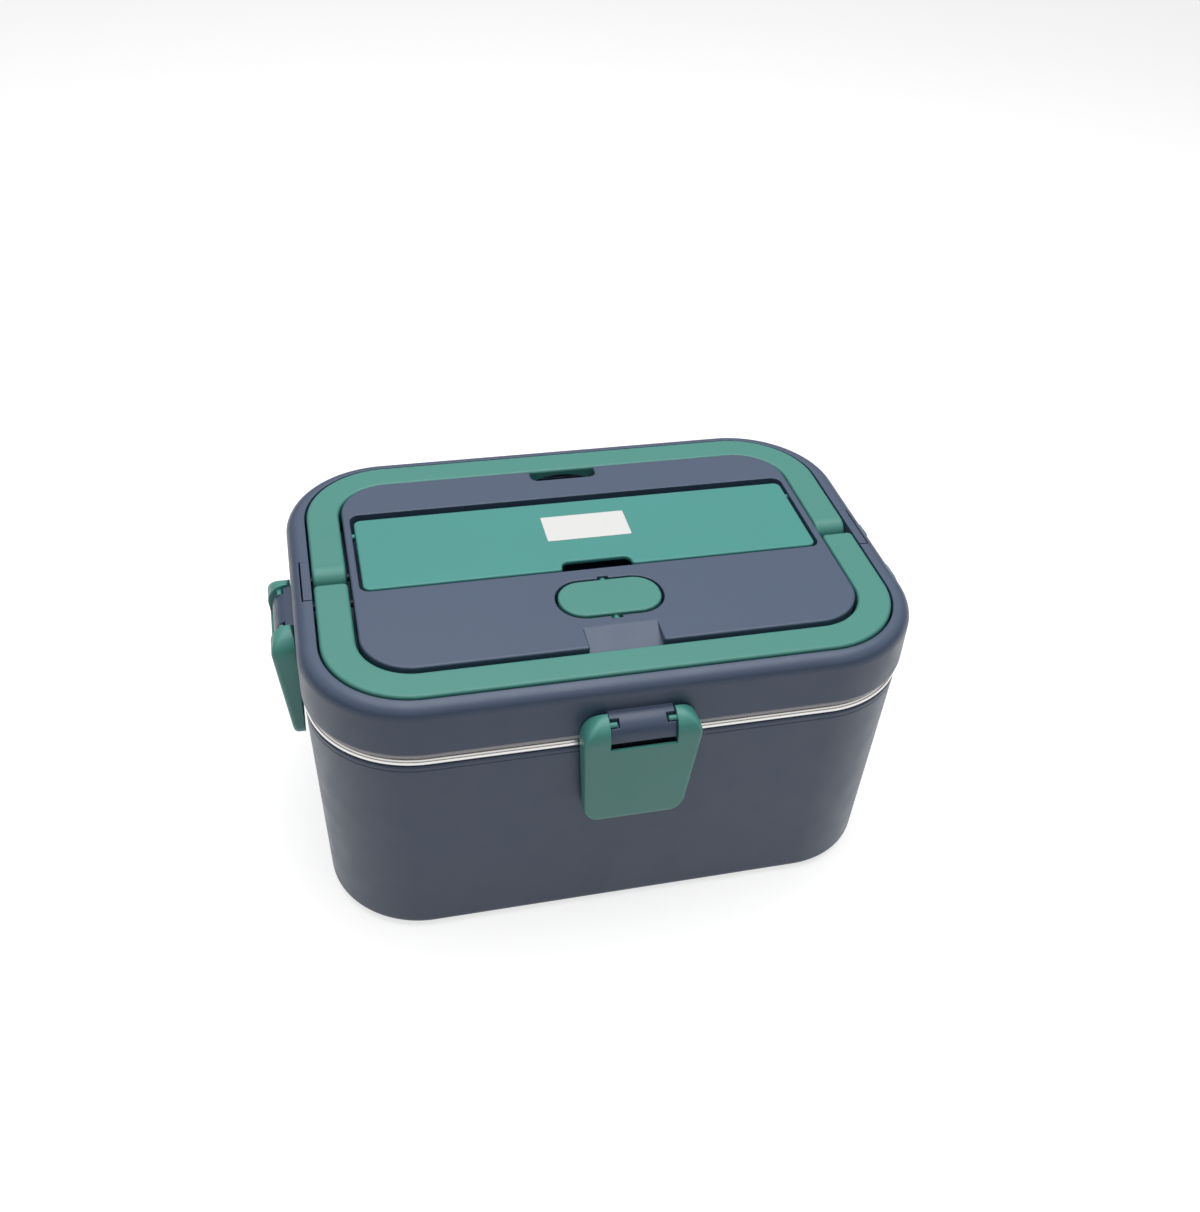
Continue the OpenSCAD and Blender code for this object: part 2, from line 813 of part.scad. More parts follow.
module pin_clip(i) {
    color(slate) intersection() {
        lid_block();
        translate([i > 0 ? clip_x : slip - clip_x - clip_w, slip - clip_front, z_clip])
            cube([clip_w - slip, clip_front + clip_back - 2 * slip, z_top]);
    }
}

module handle_pins() {
    color(steel) handle_pin_places() translate([0, 0, pin_in])
        cylinder(r = handle_pin_r, h = pin_out - pin_in);
}

module inner_lid() {
    wall_r = plug_r - plug_wall;
    color(milky) difference() {
        union() {
            around(cx, cy) {
                translate([wall_r, z_band]) square([rim_out - wall_r, band_t]);
                translate([wall_r, z_plug]) square([plug_wall, z_band - z_plug]);
            }
            slab(cx, cy, plug_r, z_plug, z_plug + plug_wall);
            inner_screw_places() translate([0, 0, z_plug])
                cylinder(r = head_r + head_cover, h = cup_h);
            translate([vent_x, vent_y, z_plug])
                cylinder(r = vent_r + vent_wall, h = z_vent - z_plug);
        }
        inner_screw_places() translate([0, 0, z_plug - over]) {
            cylinder(r = head_r + touch, h = over + seal_gap + head_h);
            cylinder(r = screw_r + slip, h = cup_h + 2 * over);
        }
        translate([vent_x, vent_y, z_plug - over])
            cylinder(r = vent_r, h = z_vent - z_plug + 2 * over);
    }
}

module inner_lid_screws() {
    color(steel) inner_screw_places() screw(z_plug + seal_gap + head_h, inner_screw_l);
}

module lid_gasket() {
    color(silicone) around(cx, cy)
        translate([gasket_in, z_seal]) square([gasket_out - gasket_in, gasket_t]);
}

module plate_screw_places() {
    for (i = [-1, 1], y = plate_screw_y) translate([i * plate_screw_x, y, 0]) children();
}

module top_plate_screws() {
    color(steel) plate_screw_places() screw(z_deck - skin_t, plate_screw_l);
}

// The top plate's outline, shrunk by a wall and lowered by a skin
module plate_block(wall, skin, z0) {
    soft_slab(gx, gy, plate_r - wall, z0, z_plate - skin, plate_edge);
}

module top_plate() {
    color(slate) difference() {
        union() {
            difference() {
                plate_block(0, 0, z_deck);
                plate_block(skin_t, skin_t, z_deck - over);
            }
            intersection() {
                plate_block(0, 0, z_deck);
                plate_ribs();
            }
        }
        soft_box(-pocket_x, pocket_x, -pocket_front, pocket_back, z_deck + pocket_floor,
            z_plate + over, pocket_r);
        rocker_outline(rocker_gap, z_deck + over, z_plate + over);
        finger_hole(0, z_deck - over, z_plate + over);
        front_ramp();
        both_sides() cover_pin_seat();
        for (j = [0, 1]) translate([0, -rocker_front, 0]) mirror([0, j, 0]) rocker_pin_seat();
        handle_pin_places() translate([0, 0, pin_in - touch])
            cylinder(r = handle_pin_r + run, h = tray_side + over);
        plate_screw_places() translate([0, 0, z_deck - over])
            cylinder(r = screw_r + run, h = plate_screw_l + over);
    }
}

// What stands inside the top plate: tray walls, rocker ring, finger walls and bosses
module plate_ribs() {
    ramp_wall = finger_w / 2 + pocket_wall;
    translate([-plate_x, -pocket_front - pocket_wall, z_deck])
        cube([2 * plate_x, pocket_front + pocket_back + 2 * pocket_wall, z_plate - z_deck]);
    rocker_outline(rocker_gap + pocket_wall, z_plate - rocker_ring_h, z_plate);
    finger_hole(pocket_wall, z_deck, z_plate);
    translate([-ramp_wall, -plate_y, z_plate - ramp_d - skin_t])
        cube([2 * ramp_wall, ramp_l + over, ramp_d + skin_t]);
    plate_screw_places() translate([0, 0, z_deck]) cylinder(r = boss_r, h = z_plate - z_deck);
}

// The rocker's outline, grown by a gap
module rocker_outline(gap, z0, z1) {
    translate([0, -rocker_front, 0]) slab(rocker_x, rocker_y, rocker_r + gap, z0, z1);
}

// The opening at the back edge that lets a finger under the back handle
module finger_hole(wall, z0, z1) {
    soft_box(-finger_w / 2 - wall, finger_w / 2 + wall, plate_y - finger_d - wall,
        plate_y + finger_r + over, z0, z1, finger_r);
}

// The slope at the front edge that leads a finger down to the front handle
module front_ramp() {
    translate([-finger_w / 2, 0, 0]) rotate([90, 0, 90]) linear_extrude(finger_w)
        polygon([[ramp_l - plate_y, z_plate], [-plate_y, z_plate - ramp_d],
            [-plate_y - over, z_plate - ramp_d], [-plate_y - over, z_plate + over],
            [ramp_l - plate_y, z_plate + over]]);
}

// An open-topped seat for one of the cutlery cover's pins
module cover_pin_seat() {
    r = hinge_r + run;
    translate([cover_x, hinge_y, z_hinge]) {
        rotate([0, 90, 0]) cylinder(r = r, h = hinge_l + slip);
        translate([0, -r, 0]) cube([hinge_l + slip, 2 * r, z_plate - z_hinge + over]);
    }
}

// An open-topped seat for one of the rocker's pins
module rocker_pin_seat() {
    r = rocker_pin_r + run;
    translate([0, rocker_w / 2, z_tip]) {
        rotate([-90, 0, 0]) cylinder(r = r, h = rocker_pin_l + slip);
        translate([-r, 0, 0]) cube([2 * r, rocker_pin_l + slip, z_plate - z_tip + over]);
    }
}

// The cutlery cover's outline, shrunk by a wall
module cover_outline(wall, z0, z1) {
    soft_box(wall - cover_x, cover_x - wall, wall - cover_front, cover_back - wall, z0, z1,
        cover_r - wall);
}

// The finger notch in the cover's front edge, grown by a wall
module cover_notch(wall, z0, z1) {
    soft_box(-finger_w / 2 - wall, finger_w / 2 + wall, -cover_front - finger_r - over,
        notch_d - cover_front + wall, z0, z1, finger_r + wall / 2);
}

module cutlery_cover() {
    low = z_plate - cover_skirt;
    color(cover_green) difference() {
        union() {
            difference() {
                cover_outline(0, low, z_plate);
                cover_outline(cover_side, low - over, z_plate - cover_skin);
            }
            intersection() {
                cover_outline(0, low, z_plate);
                cover_notch(cover_side, low, z_plate);
            }
            both_sides() translate([cover_x - lug_w, hinge_y - lug_d / 2, low])
                cube([lug_w, lug_d, cover_skirt - slip]);
            both_sides() translate([cover_x - lug_w / 2, hinge_y, z_hinge])
                rotate([0, 90, 0]) cylinder(r = hinge_r, h = lug_w / 2 + hinge_l);
        }
        cover_notch(0, low - over, z_plate + over);
    }
}

module blank_label() {
    back = cover_back - label_back;
    color("white") soft_box(label_x - label_l / 2, label_x + label_l / 2, back - label_w,
        back, z_plate, z_plate + label_t, label_r);
}

module vent_rocker() {
    root = rocker_pin_l;
    color(green) {
        translate([0, -rocker_front, 0]) soft_slab(rocker_x, rocker_y, rocker_r,
            z_rocker - rocker_h, z_rocker, rocker_edge);
        for (j = [0, 1]) translate([0, -rocker_front, z_tip]) mirror([0, j, 0])
            translate([0, rocker_w / 2 - root, 0]) rotate([-90, 0, 0])
            cylinder(r = rocker_pin_r, h = rocker_pin_l + root);
    }
}

module vent_plug() {
    low = z_vent + seal_gap;
    color(silicone) translate([vent_x, vent_y, low])
        cylinder(r = vent_r + plug_over, h = z_rocker - rocker_h - low);
}

// Cross-section of a handle's bar: rounded top edges, over an open channel if asked
module bar_profile(channel) {
    z0 = z_handle - handle_h;
    difference() {
        union() {
            translate([bar_in + handle_edge, z0])
                square([handle_w - 2 * handle_edge, handle_h]);
            translate([bar_in, z0]) square([handle_w, handle_h - handle_edge]);
            for (x = [bar_in + handle_edge, bar_out - handle_edge])
                translate([x, z_handle - handle_edge]) circle(handle_edge);
        }
        if (channel) translate([bar_in + channel_wall, z0 - over])
            square([handle_w - 2 * channel_wall, channel_h + over]);
    }
}

// The front half of the handle ring, whose legs end at y = -end
module bar_half(end) {
    both_sides() {
        translate([gx, -gy, 0]) rotate(-90) rotate_extrude(angle = 90) bar_profile(true);
        translate([gx, -end - leg_solid, 0]) rotate([90, 0, 0])
            linear_extrude(gy - end - leg_solid) bar_profile(true);
        translate([gx, -end, 0]) rotate([90, 0, 0]) linear_extrude(leg_solid)
            bar_profile(false);
    }
    mirror([0, 1, 0]) translate([-gx, gy, 0]) rotate([90, 0, 90])
        linear_extrude(2 * gx) bar_profile(true);
}

module handle_bores() {
    handle_pin_places() translate([0, 0, plate_x])
        cylinder(r = handle_pin_r + run, h = clip_x - plate_x);
}

module front_handle() {
    end = end_step - front_pivot;
    color(green) difference() {
        bar_half(-end);
        handle_bores();
        translate([-plan_l / 2, end - end_round, z_handle - end_round]) difference() {
            cube([plan_l, end_round + over, end_round + over]);
            rotate([0, 90, 0]) cylinder(r = end_round, h = plan_l);
        }
    }
}

// The round end of a back handle's leg: the bar's top turned about the pivot
module barrel() {
    straight = handle_w - 2 * handle_edge;
    translate([gx + bar_in, back_pivot, z_pivot]) rotate([0, 90, 0]) rotate_extrude() {
        square([knuckle_r - handle_edge, handle_w]);
        translate([0, handle_edge]) square([knuckle_r, straight]);
        for (z = [handle_edge, handle_w - handle_edge])
            translate([knuckle_r - handle_edge, z]) circle(handle_edge);
    }
}

module back_handle() {
    arch_z = z_handle - handle_h + arch_rise - arch_r;
    color(green) difference() {
        union() {
            mirror([0, 1, 0]) bar_half(back_pivot);
            both_sides() barrel();
        }
        handle_bores();
        translate([0, gy + bar_in - over, arch_z]) rotate([-90, 0, 0])
            cylinder(r = arch_r, h = channel_wall + over);
    }
}

// Side profile of a latch, out of the lid against height, shrunk by a wall: the ears'
// inner edge keeps clear of the lid as it turns, and a quarter round leads to the face
module latch_side(wall) {
    toe = min(foot_round, face_out(latch_drop) - latch_in);
    straight = latch_drop - toe;
    r = toe - wall;
    toe_x = face_out(straight) - toe;
    ear_z = z_latch - face_top;
    ear_turn = asin(ear_top / ear_clear);
    inner = [for (i = [0:3]) let (a = ear_turn * i / 4)
        [-latch_d + ear_clear * cos(a), z_latch + ear_clear * sin(a)]];
    ear = [for (a = [90:-7.5:0])
        [-ear_in - (ear_round - wall) * cos(a), ear_z + (ear_round - wall) * sin(a)]];
    arc = [for (a = [0:15:90]) [-toe_x - r * cos(a), z_latch - straight - r * sin(a)]];
    polygon(concat(inner, ear, arc, [[-latch_in, z_latch - straight - r]]));
}

// Front outline of a latch: wide at its ears, narrower at its foot, shrunk by a wall
module latch_front(wall) {
    low = z_latch - latch_drop + wall;
    high = z_latch + ear_top - wall;
    top = latch_top_w / 2 - wall;
    foot = latch_foot_w / 2 - wall;
    corner = ear_corner - wall;
    tip = foot_corner - wall;
    foot_arc = [for (a = [0:15:75]) [foot - tip + tip * sin(a), low + tip - tip * cos(a)]];
    ear_arc = [for (a = [15:15:90]) [top - corner + corner * cos(a),
        high - corner + corner * sin(a)]];
    right = concat(foot_arc, [[foot, low + tip], [top, high - corner]], ear_arc);
    left = [for (i = [len(right) - 1:-1:0]) [-right[i].x, right[i].y]];
    polygon(concat(right, left));
}

// The space that both outlines enclose, carried out towards the box by reach
module latch_space(wall, reach) {
    intersection() {
        translate([-latch_top_w / 2, 0, 0]) rotate([90, 0, 90]) linear_extrude(latch_top_w) {
            latch_side(wall);
            if (reach > 0) translate([-latch_in, z_latch - latch_drop + wall])
                square([latch_in + reach, latch_drop - wall]);
        }
        translate([0, reach + over, 0]) rotate([90, 0, 0]) linear_extrude(latch_reach)
            latch_front(wall);
    }
}

module latch() {
    hook_root = face_out(z_latch - z_hook) - latch_wall / 2;
    color(green) {
        difference() {
            latch_space(0, 0);
            difference() {
                intersection() {
                    latch_space(latch_wall, over);
                    translate([-latch_top_w / 2, -latch_reach,
                        z_latch - latch_drop + latch_wall])
                        cube([latch_top_w, 2 * latch_reach,
                            latch_drop - hollow_top - latch_wall]);
                }
                translate([-window_w / 2 - latch_wall, -latch_reach, z_window - latch_wall])
                    cube([window_w + 2 * latch_wall, 2 * latch_reach, latch_reach]);
            }
            translate([-window_w / 2, -latch_reach, z_window])
                cube([window_w, 2 * latch_reach, latch_reach]);
        }
        translate([-catch_w / 2, -hook_root, z_hook])
            cube([catch_w, hook_root - latch_in, hook_h]);
        both_sides() translate([window_w / 2 - latch_pin_l, -latch_d, z_latch])
            rotate([0, 90, 0]) cylinder(r = latch_pin_r, h = 2 * latch_pin_l);
    }
}

outer_shell();
inner_well();
base_cover();
rubber_feet();
base_screws();
heating_plate();
heater_tube();
heating_elements();
heater_straps();
strap_screws();
thermal_cutout();
power_inlet();
inlet_pins();
live_lead();
cutout_lead();
neutral_lead();
steel_container();
lid_shell();
top_plate();
inner_lid();
lid_gasket();
handle_pins();
pin_clip(-1);  // pin_clip_left
pin_clip(1);  // pin_clip_right
inner_lid_screws();
top_plate_screws();
front_handle();
back_handle();
cutlery_cover();
blank_label();
vent_rocker();
vent_plug();
to_side(0) latch();  // front_latch
to_side(1) latch();  // right_latch
to_side(2) latch();  // back_latch
to_side(3) latch();  // left_latch
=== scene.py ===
import math

import bmesh
import bpy
import numpy as np
from mathutils import Matrix, Vector
from mathutils.geometry import tessellate_polygon


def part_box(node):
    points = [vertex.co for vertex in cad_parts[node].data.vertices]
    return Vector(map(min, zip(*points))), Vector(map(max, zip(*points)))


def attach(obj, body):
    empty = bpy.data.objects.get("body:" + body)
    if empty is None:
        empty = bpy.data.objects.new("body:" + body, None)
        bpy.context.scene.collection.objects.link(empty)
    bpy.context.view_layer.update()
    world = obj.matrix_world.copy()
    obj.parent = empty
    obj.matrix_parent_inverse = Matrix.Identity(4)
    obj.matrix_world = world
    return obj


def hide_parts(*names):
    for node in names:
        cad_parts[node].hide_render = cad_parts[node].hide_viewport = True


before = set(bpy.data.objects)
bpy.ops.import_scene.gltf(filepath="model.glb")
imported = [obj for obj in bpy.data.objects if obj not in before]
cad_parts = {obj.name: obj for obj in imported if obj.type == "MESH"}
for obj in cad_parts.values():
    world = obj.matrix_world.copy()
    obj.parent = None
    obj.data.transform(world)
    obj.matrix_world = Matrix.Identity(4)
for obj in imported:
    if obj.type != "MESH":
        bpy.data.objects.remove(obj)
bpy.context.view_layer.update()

# Shapes are worked out in millimetres and become metres when a mesh is made
MM = 0.001
# How far a chord may stray from its arc, and how close points are welded
ARC_ERROR = 0.012
WELD = 0.003
SHARP_ANGLE = math.radians(38)
CORNER_STEPS = 30


def span(node):
    """Lowest and highest corner of a CAD node, in millimetres."""
    low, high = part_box(node)
    return np.array(low) / MM, np.array(high) / MM


# Driving sizes that the photograph gave: the lid's half length and width, the corner radii of body
# and groove, the rounding of the lid's top, what shows of the milky band, half a finger opening
HALF_X, HALF_Y = 118.0, 80.2
BODY_RADIUS, GROOVE_RADIUS = 42.0, 34.6
LID_ROUND = 5.4
BAND_SHOWN = 2.35
FINGER_HALF = 14.0
WALL = 2.0

# Boxes of the CAD nodes, which give levels and reaches
lid_high = span("lid_shell")[1]
shell_low, shell_high = span("outer_shell")
well_high = span("inner_well")[1]
pot_low, pot_high = span("steel_container")
band_low, band_high = span("inner_lid")
gasket_low, gasket_high = span("lid_gasket")
plate_low, plate_high = span("top_plate")
ring_low, ring_high = span("front_handle")
cover_low, cover_high = span("cutlery_cover")
rocker_low, rocker_high = span("vent_rocker")
label_low, label_high = span("blank_label")
latch_low, latch_high = span("front_latch")

# Corner centres of body and groove, the radii of the body's lip and the handle ring, the lid's levels
BODY_X, BODY_Y = HALF_X - BODY_RADIUS, HALF_Y - BODY_RADIUS
LIP_RADIUS = BODY_RADIUS - 1
RING_OUT = GROOVE_RADIUS - 0.8
GROOVE_X, GROOVE_Y = ring_high[0] - RING_OUT, -ring_low[1] - RING_OUT
LID_BOTTOM, LID_TOP = gasket_high[2] + BAND_SHOWN, lid_high[2]


def arc_steps(radius, angle):
    """Steps for an arc so that no chord strays further than the arc error: angle over twice the
    angle whose cosine is one minus error over radius."""
    if radius <= ARC_ERROR:
        return 1
    return max(2, math.ceil(abs(angle) / (2 * math.acos(1 - ARC_ERROR / radius))))


def rounded(corners, radii):
    """Closed outline, counter-clockwise, whose corners are arcs. Each corner's sides are cut back by
    the radius times the tangent of half the turn, and the arc's points are its centre plus the radius
    times the turned outward direction. Returns points and outward directions."""
    corners = np.asarray(corners, float)
    radii = np.broadcast_to(np.asarray(radii, float), len(corners))
    before = corners - np.roll(corners, 1, 0)
    after = np.roll(before, -1, 0)
    bends = np.arctan2(before[:, 0] * after[:, 1] - before[:, 1] * after[:, 0],
                       (before * after).sum(1))
    points, outward = [], []
    for corner, way, bend, radius in zip(corners, before, bends, radii):
        way = way / np.linalg.norm(way)
        side = 1 if bend >= 0 else -1
        out = np.array([way[1], -way[0]])
        start = corner - way * radius * math.tan(abs(bend) / 2)
        centre = start - side * radius * out
        turn = np.linspace(0, bend, arc_steps(radius, bend) + 1)[:, None]
        facing = out * np.cos(turn) + np.array([-out[1], out[0]]) * np.sin(turn)
        points.append(centre + side * radius * facing)
        outward.append(facing)
    return np.concatenate(points), np.concatenate(outward)


def outline_of(corners):
    """Closed outline through points, with each point's outward direction the mean of its two sides'."""
    corners = np.asarray(corners, float)
    before = corners - np.roll(corners, 1, 0)
    before /= np.maximum(np.linalg.norm(before, axis=1), 1e-9)[:, None]
    sides = np.stack([before[:, 1], -before[:, 0]], 1)
    outward = sides + np.roll(sides, -1, 0)
    outward /= np.maximum((outward ** 2).sum(1) / 2, 0.3)[:, None]
    return corners, outward


def box_outline(x0, x1, y0, y1, radii):
    """Rounded rectangle between two corners."""
    return rounded([(x0, y0), (x1, y0), (x1, y1), (x0, y1)], radii)


def disc_outline(x, y, radius):
    """Circle about a point."""
    return box_outline(x - radius, x + radius, y - radius, y + radius, radius * 0.9999)


def quarter(radius, start=0.0):
    """Cosines and sines of a quarter turn times the radius, from the start angle in degrees."""
    angle = np.radians(start + np.linspace(0, 90, arc_steps(radius, math.pi / 2) + 1))
    return np.stack([np.cos(angle), np.sin(angle)], 1) * radius


def round_of(radius, x, z, start, end):
    """Arc of (out, up) about a point, between two angles in degrees."""
    turn = np.radians(np.linspace(start, end, arc_steps(radius, math.radians(end - start)) + 1))
    return np.stack([x + radius * np.cos(turn), z + radius * np.sin(turn)], 1)


def edge(top, bottom, top_round=0.0, bottom_round=0.0):
    """Edge profile from top to bottom as rows of (distance out, height): a quarter round at the top,
    a straight wall and a quarter round at the bottom."""
    over = quarter(top_round, 0)[::-1] + [-top_round, top - top_round]
    under = quarter(bottom_round, -90)[::-1] + [-bottom_round, bottom + bottom_round]
    return np.concatenate([over, under])


class Surface:
    """Points and faces of one mesh, in millimetres."""

    def __init__(self):
        self.points = []
        self.faces = []
        self.count = 0

    def add(self, points, faces):
        self.points.append(points)
        self.faces.append(faces + self.count)
        self.count += len(points)
        return self

    def grid(self, rows, loop=False):
        """Quads between neighbouring points of a grid of closed rows. loop joins the last row to the
        first."""
        rows = np.asarray(rows, float)
        high, wide = rows.shape[:2]
        down = np.arange(high if loop else high - 1)
        along = np.arange(wide)
        a = (down[:, None] * wide + along).ravel()
        b = (down[:, None] * wide + (along + 1) % wide).ravel()
        c = ((down[:, None] + 1) % high * wide + (along + 1) % wide).ravel()
        d = ((down[:, None] + 1) % high * wide + along).ravel()
        return self.add(rows.reshape(-1, 3), np.stack([a, b, c, d], 1))

    def cap(self, *loops):
        """Flat face inside the first loop and outside the others."""
        triangles = tessellate_polygon([loop.tolist() for loop in loops])
        return self.add(np.concatenate(loops), np.array(triangles))

    def rim(self, line, profile, side=1):
        """Carries an edge profile along an outline. side -1 is for a hole, whose edge rounds inwards.
        Returns the first and the last ring."""
        points, outward = line
        moved = points + side * profile[:, 0, None, None] * outward
        rows = np.concatenate([moved, np.broadcast_to(profile[:, 1, None, None],
                                                      moved.shape[:2] + (1,))], 2)
        self.grid(rows)
        return rows[0], rows[-1]

    def slab(self, line, top, bottom, top_round=0.0, bottom_round=0.0):
        """Flat piece with rounded edges: the outline's rim, closed by two caps."""
        first, last = self.rim(line, edge(top, bottom, top_round, bottom_round))
        return self.cap(first).cap(last)

    def moved(self, matrix):
        """The same surface carried by a 3 by 4 matrix."""
        matrix = np.asarray(matrix, float)
        self.points = [points @ matrix[:, :3].T + matrix[:, 3] for points in self.points]
        return self

    def join(self, other):
        """Takes in another surface's parts."""
        for points, faces in zip(other.points, other.split()):
            self.add(points, faces)
        return self

    def split(self):
        """Each part's faces, counted from that part's own first point."""
        starts = np.cumsum([0] + [len(points) for points in self.points])
        return [faces - start for faces, start in zip(self.faces, starts)]

    def mesh(self, name):
        """Welds the parts, turns all faces outwards and marks the sharp edges."""
        data = bpy.data.meshes.new(name)
        faces = [face for part in self.faces for face in part.tolist()]
        data.from_pydata((np.concatenate(self.points) * MM).tolist(), [], faces)
        tidy(data)
        return data


def tidy(data):
    """Welds a mesh, drops its slivers, turns its faces outwards and shades it smooth between sharp
    edges."""
    work = bmesh.new()
    work.from_mesh(data)
    bmesh.ops.remove_doubles(work, verts=work.verts, dist=WELD * MM)
    bmesh.ops.dissolve_degenerate(work, edges=work.edges, dist=WELD * MM / 10)
    bmesh.ops.recalc_face_normals(work, faces=work.faces)
    work.to_mesh(data)
    work.free()
    data.polygons.foreach_set("use_smooth", np.ones(len(data.polygons), bool))
    data.set_sharp_from_angle(angle=SHARP_ANGLE)


def belt(x, y, radius, z):
    """Ring round a rounded rectangle: each corner's centre plus the radius times the direction,
    through a quarter turn at each corner. The values may be arrays, one row of points for each."""
    x, y, radius, z = np.broadcast_arrays(*[np.atleast_1d(np.asarray(value, float))
                                            for value in (x, y, radius, z)])
    sweep = np.linspace(0, math.pi / 2, CORNER_STEPS + 1)
    angle = (np.arange(4)[:, None] * math.pi / 2 + sweep).ravel()
    corner = np.repeat([[1, 1], [-1, 1], [-1, -1], [1, -1]], CORNER_STEPS + 1, 0)
    px = corner[:, 0] * x[:, None] + np.cos(angle) * radius[:, None]
    py = corner[:, 1] * y[:, None] + np.sin(angle) * radius[:, None]
    return np.stack([px, py, np.broadcast_to(z[:, None], px.shape)], 2)


def profile_ring(surface, x, y, corners, radii):
    """Closed ring: a rounded profile of (distance out, height) carried round a rounded rectangle."""
    points = rounded(corners, radii)[0]
    return surface.grid(belt(x, y, points[:, 0], points[:, 1]), loop=True)


def peg(surface, x, y, radius, bottom, top, soften=0.2):
    """Upright round peg with softened ends."""
    return surface.slab(disc_outline(x, y, radius), top, bottom, soften, soften)


# Turns for what is drawn flat: from (y, z) with its thickness along x, and from (x, z) along y
ALONG_X = [[0, 0, 1, 0], [1, 0, 0, 0], [0, 1, 0, 0]]
ALONG_Y = [[1, 0, 0, 0], [0, 0, 1, 0], [0, 1, 0, 0]]


def rod(turned, x, y, radius, ends, soften=0.25):
    """Round rod between two ends, drawn as a disc about a point and then turned."""
    low, high = sorted(ends)
    return Surface().slab(disc_outline(x, y, radius), high, low, soften, soften).moved(turned)


def bar(corners, low, high, low_round=0.0, high_round=0.0):
    """A profile carried straight along x, with softened ends."""
    return Surface().slab(outline_of(corners), high, low, high_round, low_round).moved(ALONG_X)


def brick(x0, x1, y0, y1, z0, z1):
    """Plain block to cut with."""
    return Surface().slab(box_outline(x0, x1, y0, y1, 0), z1, z0)


def loose(data, name):
    """A mesh as an object of the scene."""
    thing = bpy.data.objects.new(name, data)
    bpy.context.scene.collection.objects.link(thing)
    return thing


def solid(surface, name):
    """A surface as an object to cut or to cut with. The cut removes it."""
    return loose(surface.mesh(name), name)


def cut(base, tools):
    """Combines an object with others in turn and returns the mesh. Each tool is (operation, object)."""
    for step, (operation, tool) in enumerate(tools):
        change = base.modifiers.new(f"cut_{step}", "BOOLEAN")
        change.operation = operation
        change.solver = "EXACT"
        change.object = tool
    bpy.context.view_layer.update()
    made = bpy.data.meshes.new_from_object(base.evaluated_get(bpy.context.evaluated_depsgraph_get()))
    for thing in [base] + [tool for _, tool in tools]:
        bpy.data.objects.remove(thing)
    tidy(made)
    return made


def piece(name, data, material, body, nodes, soften=0.0):
    """Puts a mesh in the scene as a piece that rides on a body and stands for its CAD nodes."""
    data.name = name
    data.materials.clear()
    data.materials.append(material)
    thing = loose(data, name)
    if soften:
        edges = thing.modifiers.new("soft_edges", "BEVEL")
        edges.width = soften * MM
        edges.segments = 3
        edges.limit_method = "ANGLE"
        edges.angle_limit = SHARP_ANGLE
        edges.use_clamp_overlap = True
    facing = thing.modifiers.new("flat_faces", "WEIGHTED_NORMAL")
    facing.mode = "FACE_AREA"
    facing.keep_sharp = True
    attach(thing, body)
    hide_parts(*nodes)
    return thing


# Materials


def new_material(name, color, roughness, metallic=0.0):
    """A material with a plain Principled shader, and what the functions below need to add to it."""
    made = bpy.data.materials.new(name)
    made.use_nodes = True
    shader = made.node_tree.nodes["Principled BSDF"]
    shader.inputs["Base Color"].default_value = (*color, 1)
    shader.inputs["Roughness"].default_value = roughness
    shader.inputs["Metallic"].default_value = metallic
    made.diffuse_color = (*color, 1)
    return made, made.node_tree, shader


def object_point(tree, scale=(1, 1, 1)):
    """Object coordinates, stretched by a scale along each axis."""
    source = tree.nodes.new("ShaderNodeTexCoord")
    stretch = tree.nodes.new("ShaderNodeMapping")
    stretch.inputs["Scale"].default_value = scale
    tree.links.new(source.outputs["Object"], stretch.inputs["Vector"])
    return stretch.outputs["Vector"]


def noise(tree, point, size, detail=2.0):
    """Cloudy noise whose patches are about size millimetres across."""
    made = tree.nodes.new("ShaderNodeTexNoise")
    made.inputs["Scale"].default_value = 1 / (size * MM)
    made.inputs["Detail"].default_value = detail
    tree.links.new(point, made.inputs["Vector"])
    return made.outputs["Fac"]


def between(tree, factor, low, high, from_low=0.3, from_high=0.7):
    """Carries a noise value from one range to another."""
    made = tree.nodes.new("ShaderNodeMapRange")
    made.inputs["From Min"].default_value = from_low
    made.inputs["From Max"].default_value = from_high
    made.inputs["To Min"].default_value = low
    made.inputs["To Max"].default_value = high
    tree.links.new(factor, made.inputs["Value"])
    return made.outputs["Result"]


def blend(tree, factor, low, high):
    """Colour that runs from one to the other with the factor. Each is a colour or a signal."""
    made = tree.nodes.new("ShaderNodeMix")
    made.data_type = "RGBA"
    for name, value in (("A", low), ("B", high)):
        if isinstance(value, tuple):
            made.inputs[name].default_value = (*value, 1)
        else:
            tree.links.new(value, made.inputs[name])
    tree.links.new(factor, made.inputs["Factor"])
    return made.outputs["Result"]


def soft_edges(tree, radius):
    """Normals as if the edges were rounded by a radius in millimetres."""
    made = tree.nodes.new("ShaderNodeBevel")
    made.samples = 6
    made.inputs["Radius"].default_value = radius * MM
    return made.outputs["Normal"]


def edge_highlight_share(tree, soft):
    """1 on edges and 0 elsewhere: how far the rounded normal turns from the surface's own. It
    places the painted edge highlight.
    """
    own = tree.nodes.new("ShaderNodeNewGeometry")
    same = tree.nodes.new("ShaderNodeVectorMath")
    same.operation = "DOT_PRODUCT"
    tree.links.new(soft, same.inputs[0])
    tree.links.new(own.outputs["Normal"], same.inputs[1])
    turned_far, turned_little = 0.72, 0.96
    return between(tree, same.outputs["Value"], 1, 0, turned_far, turned_little)


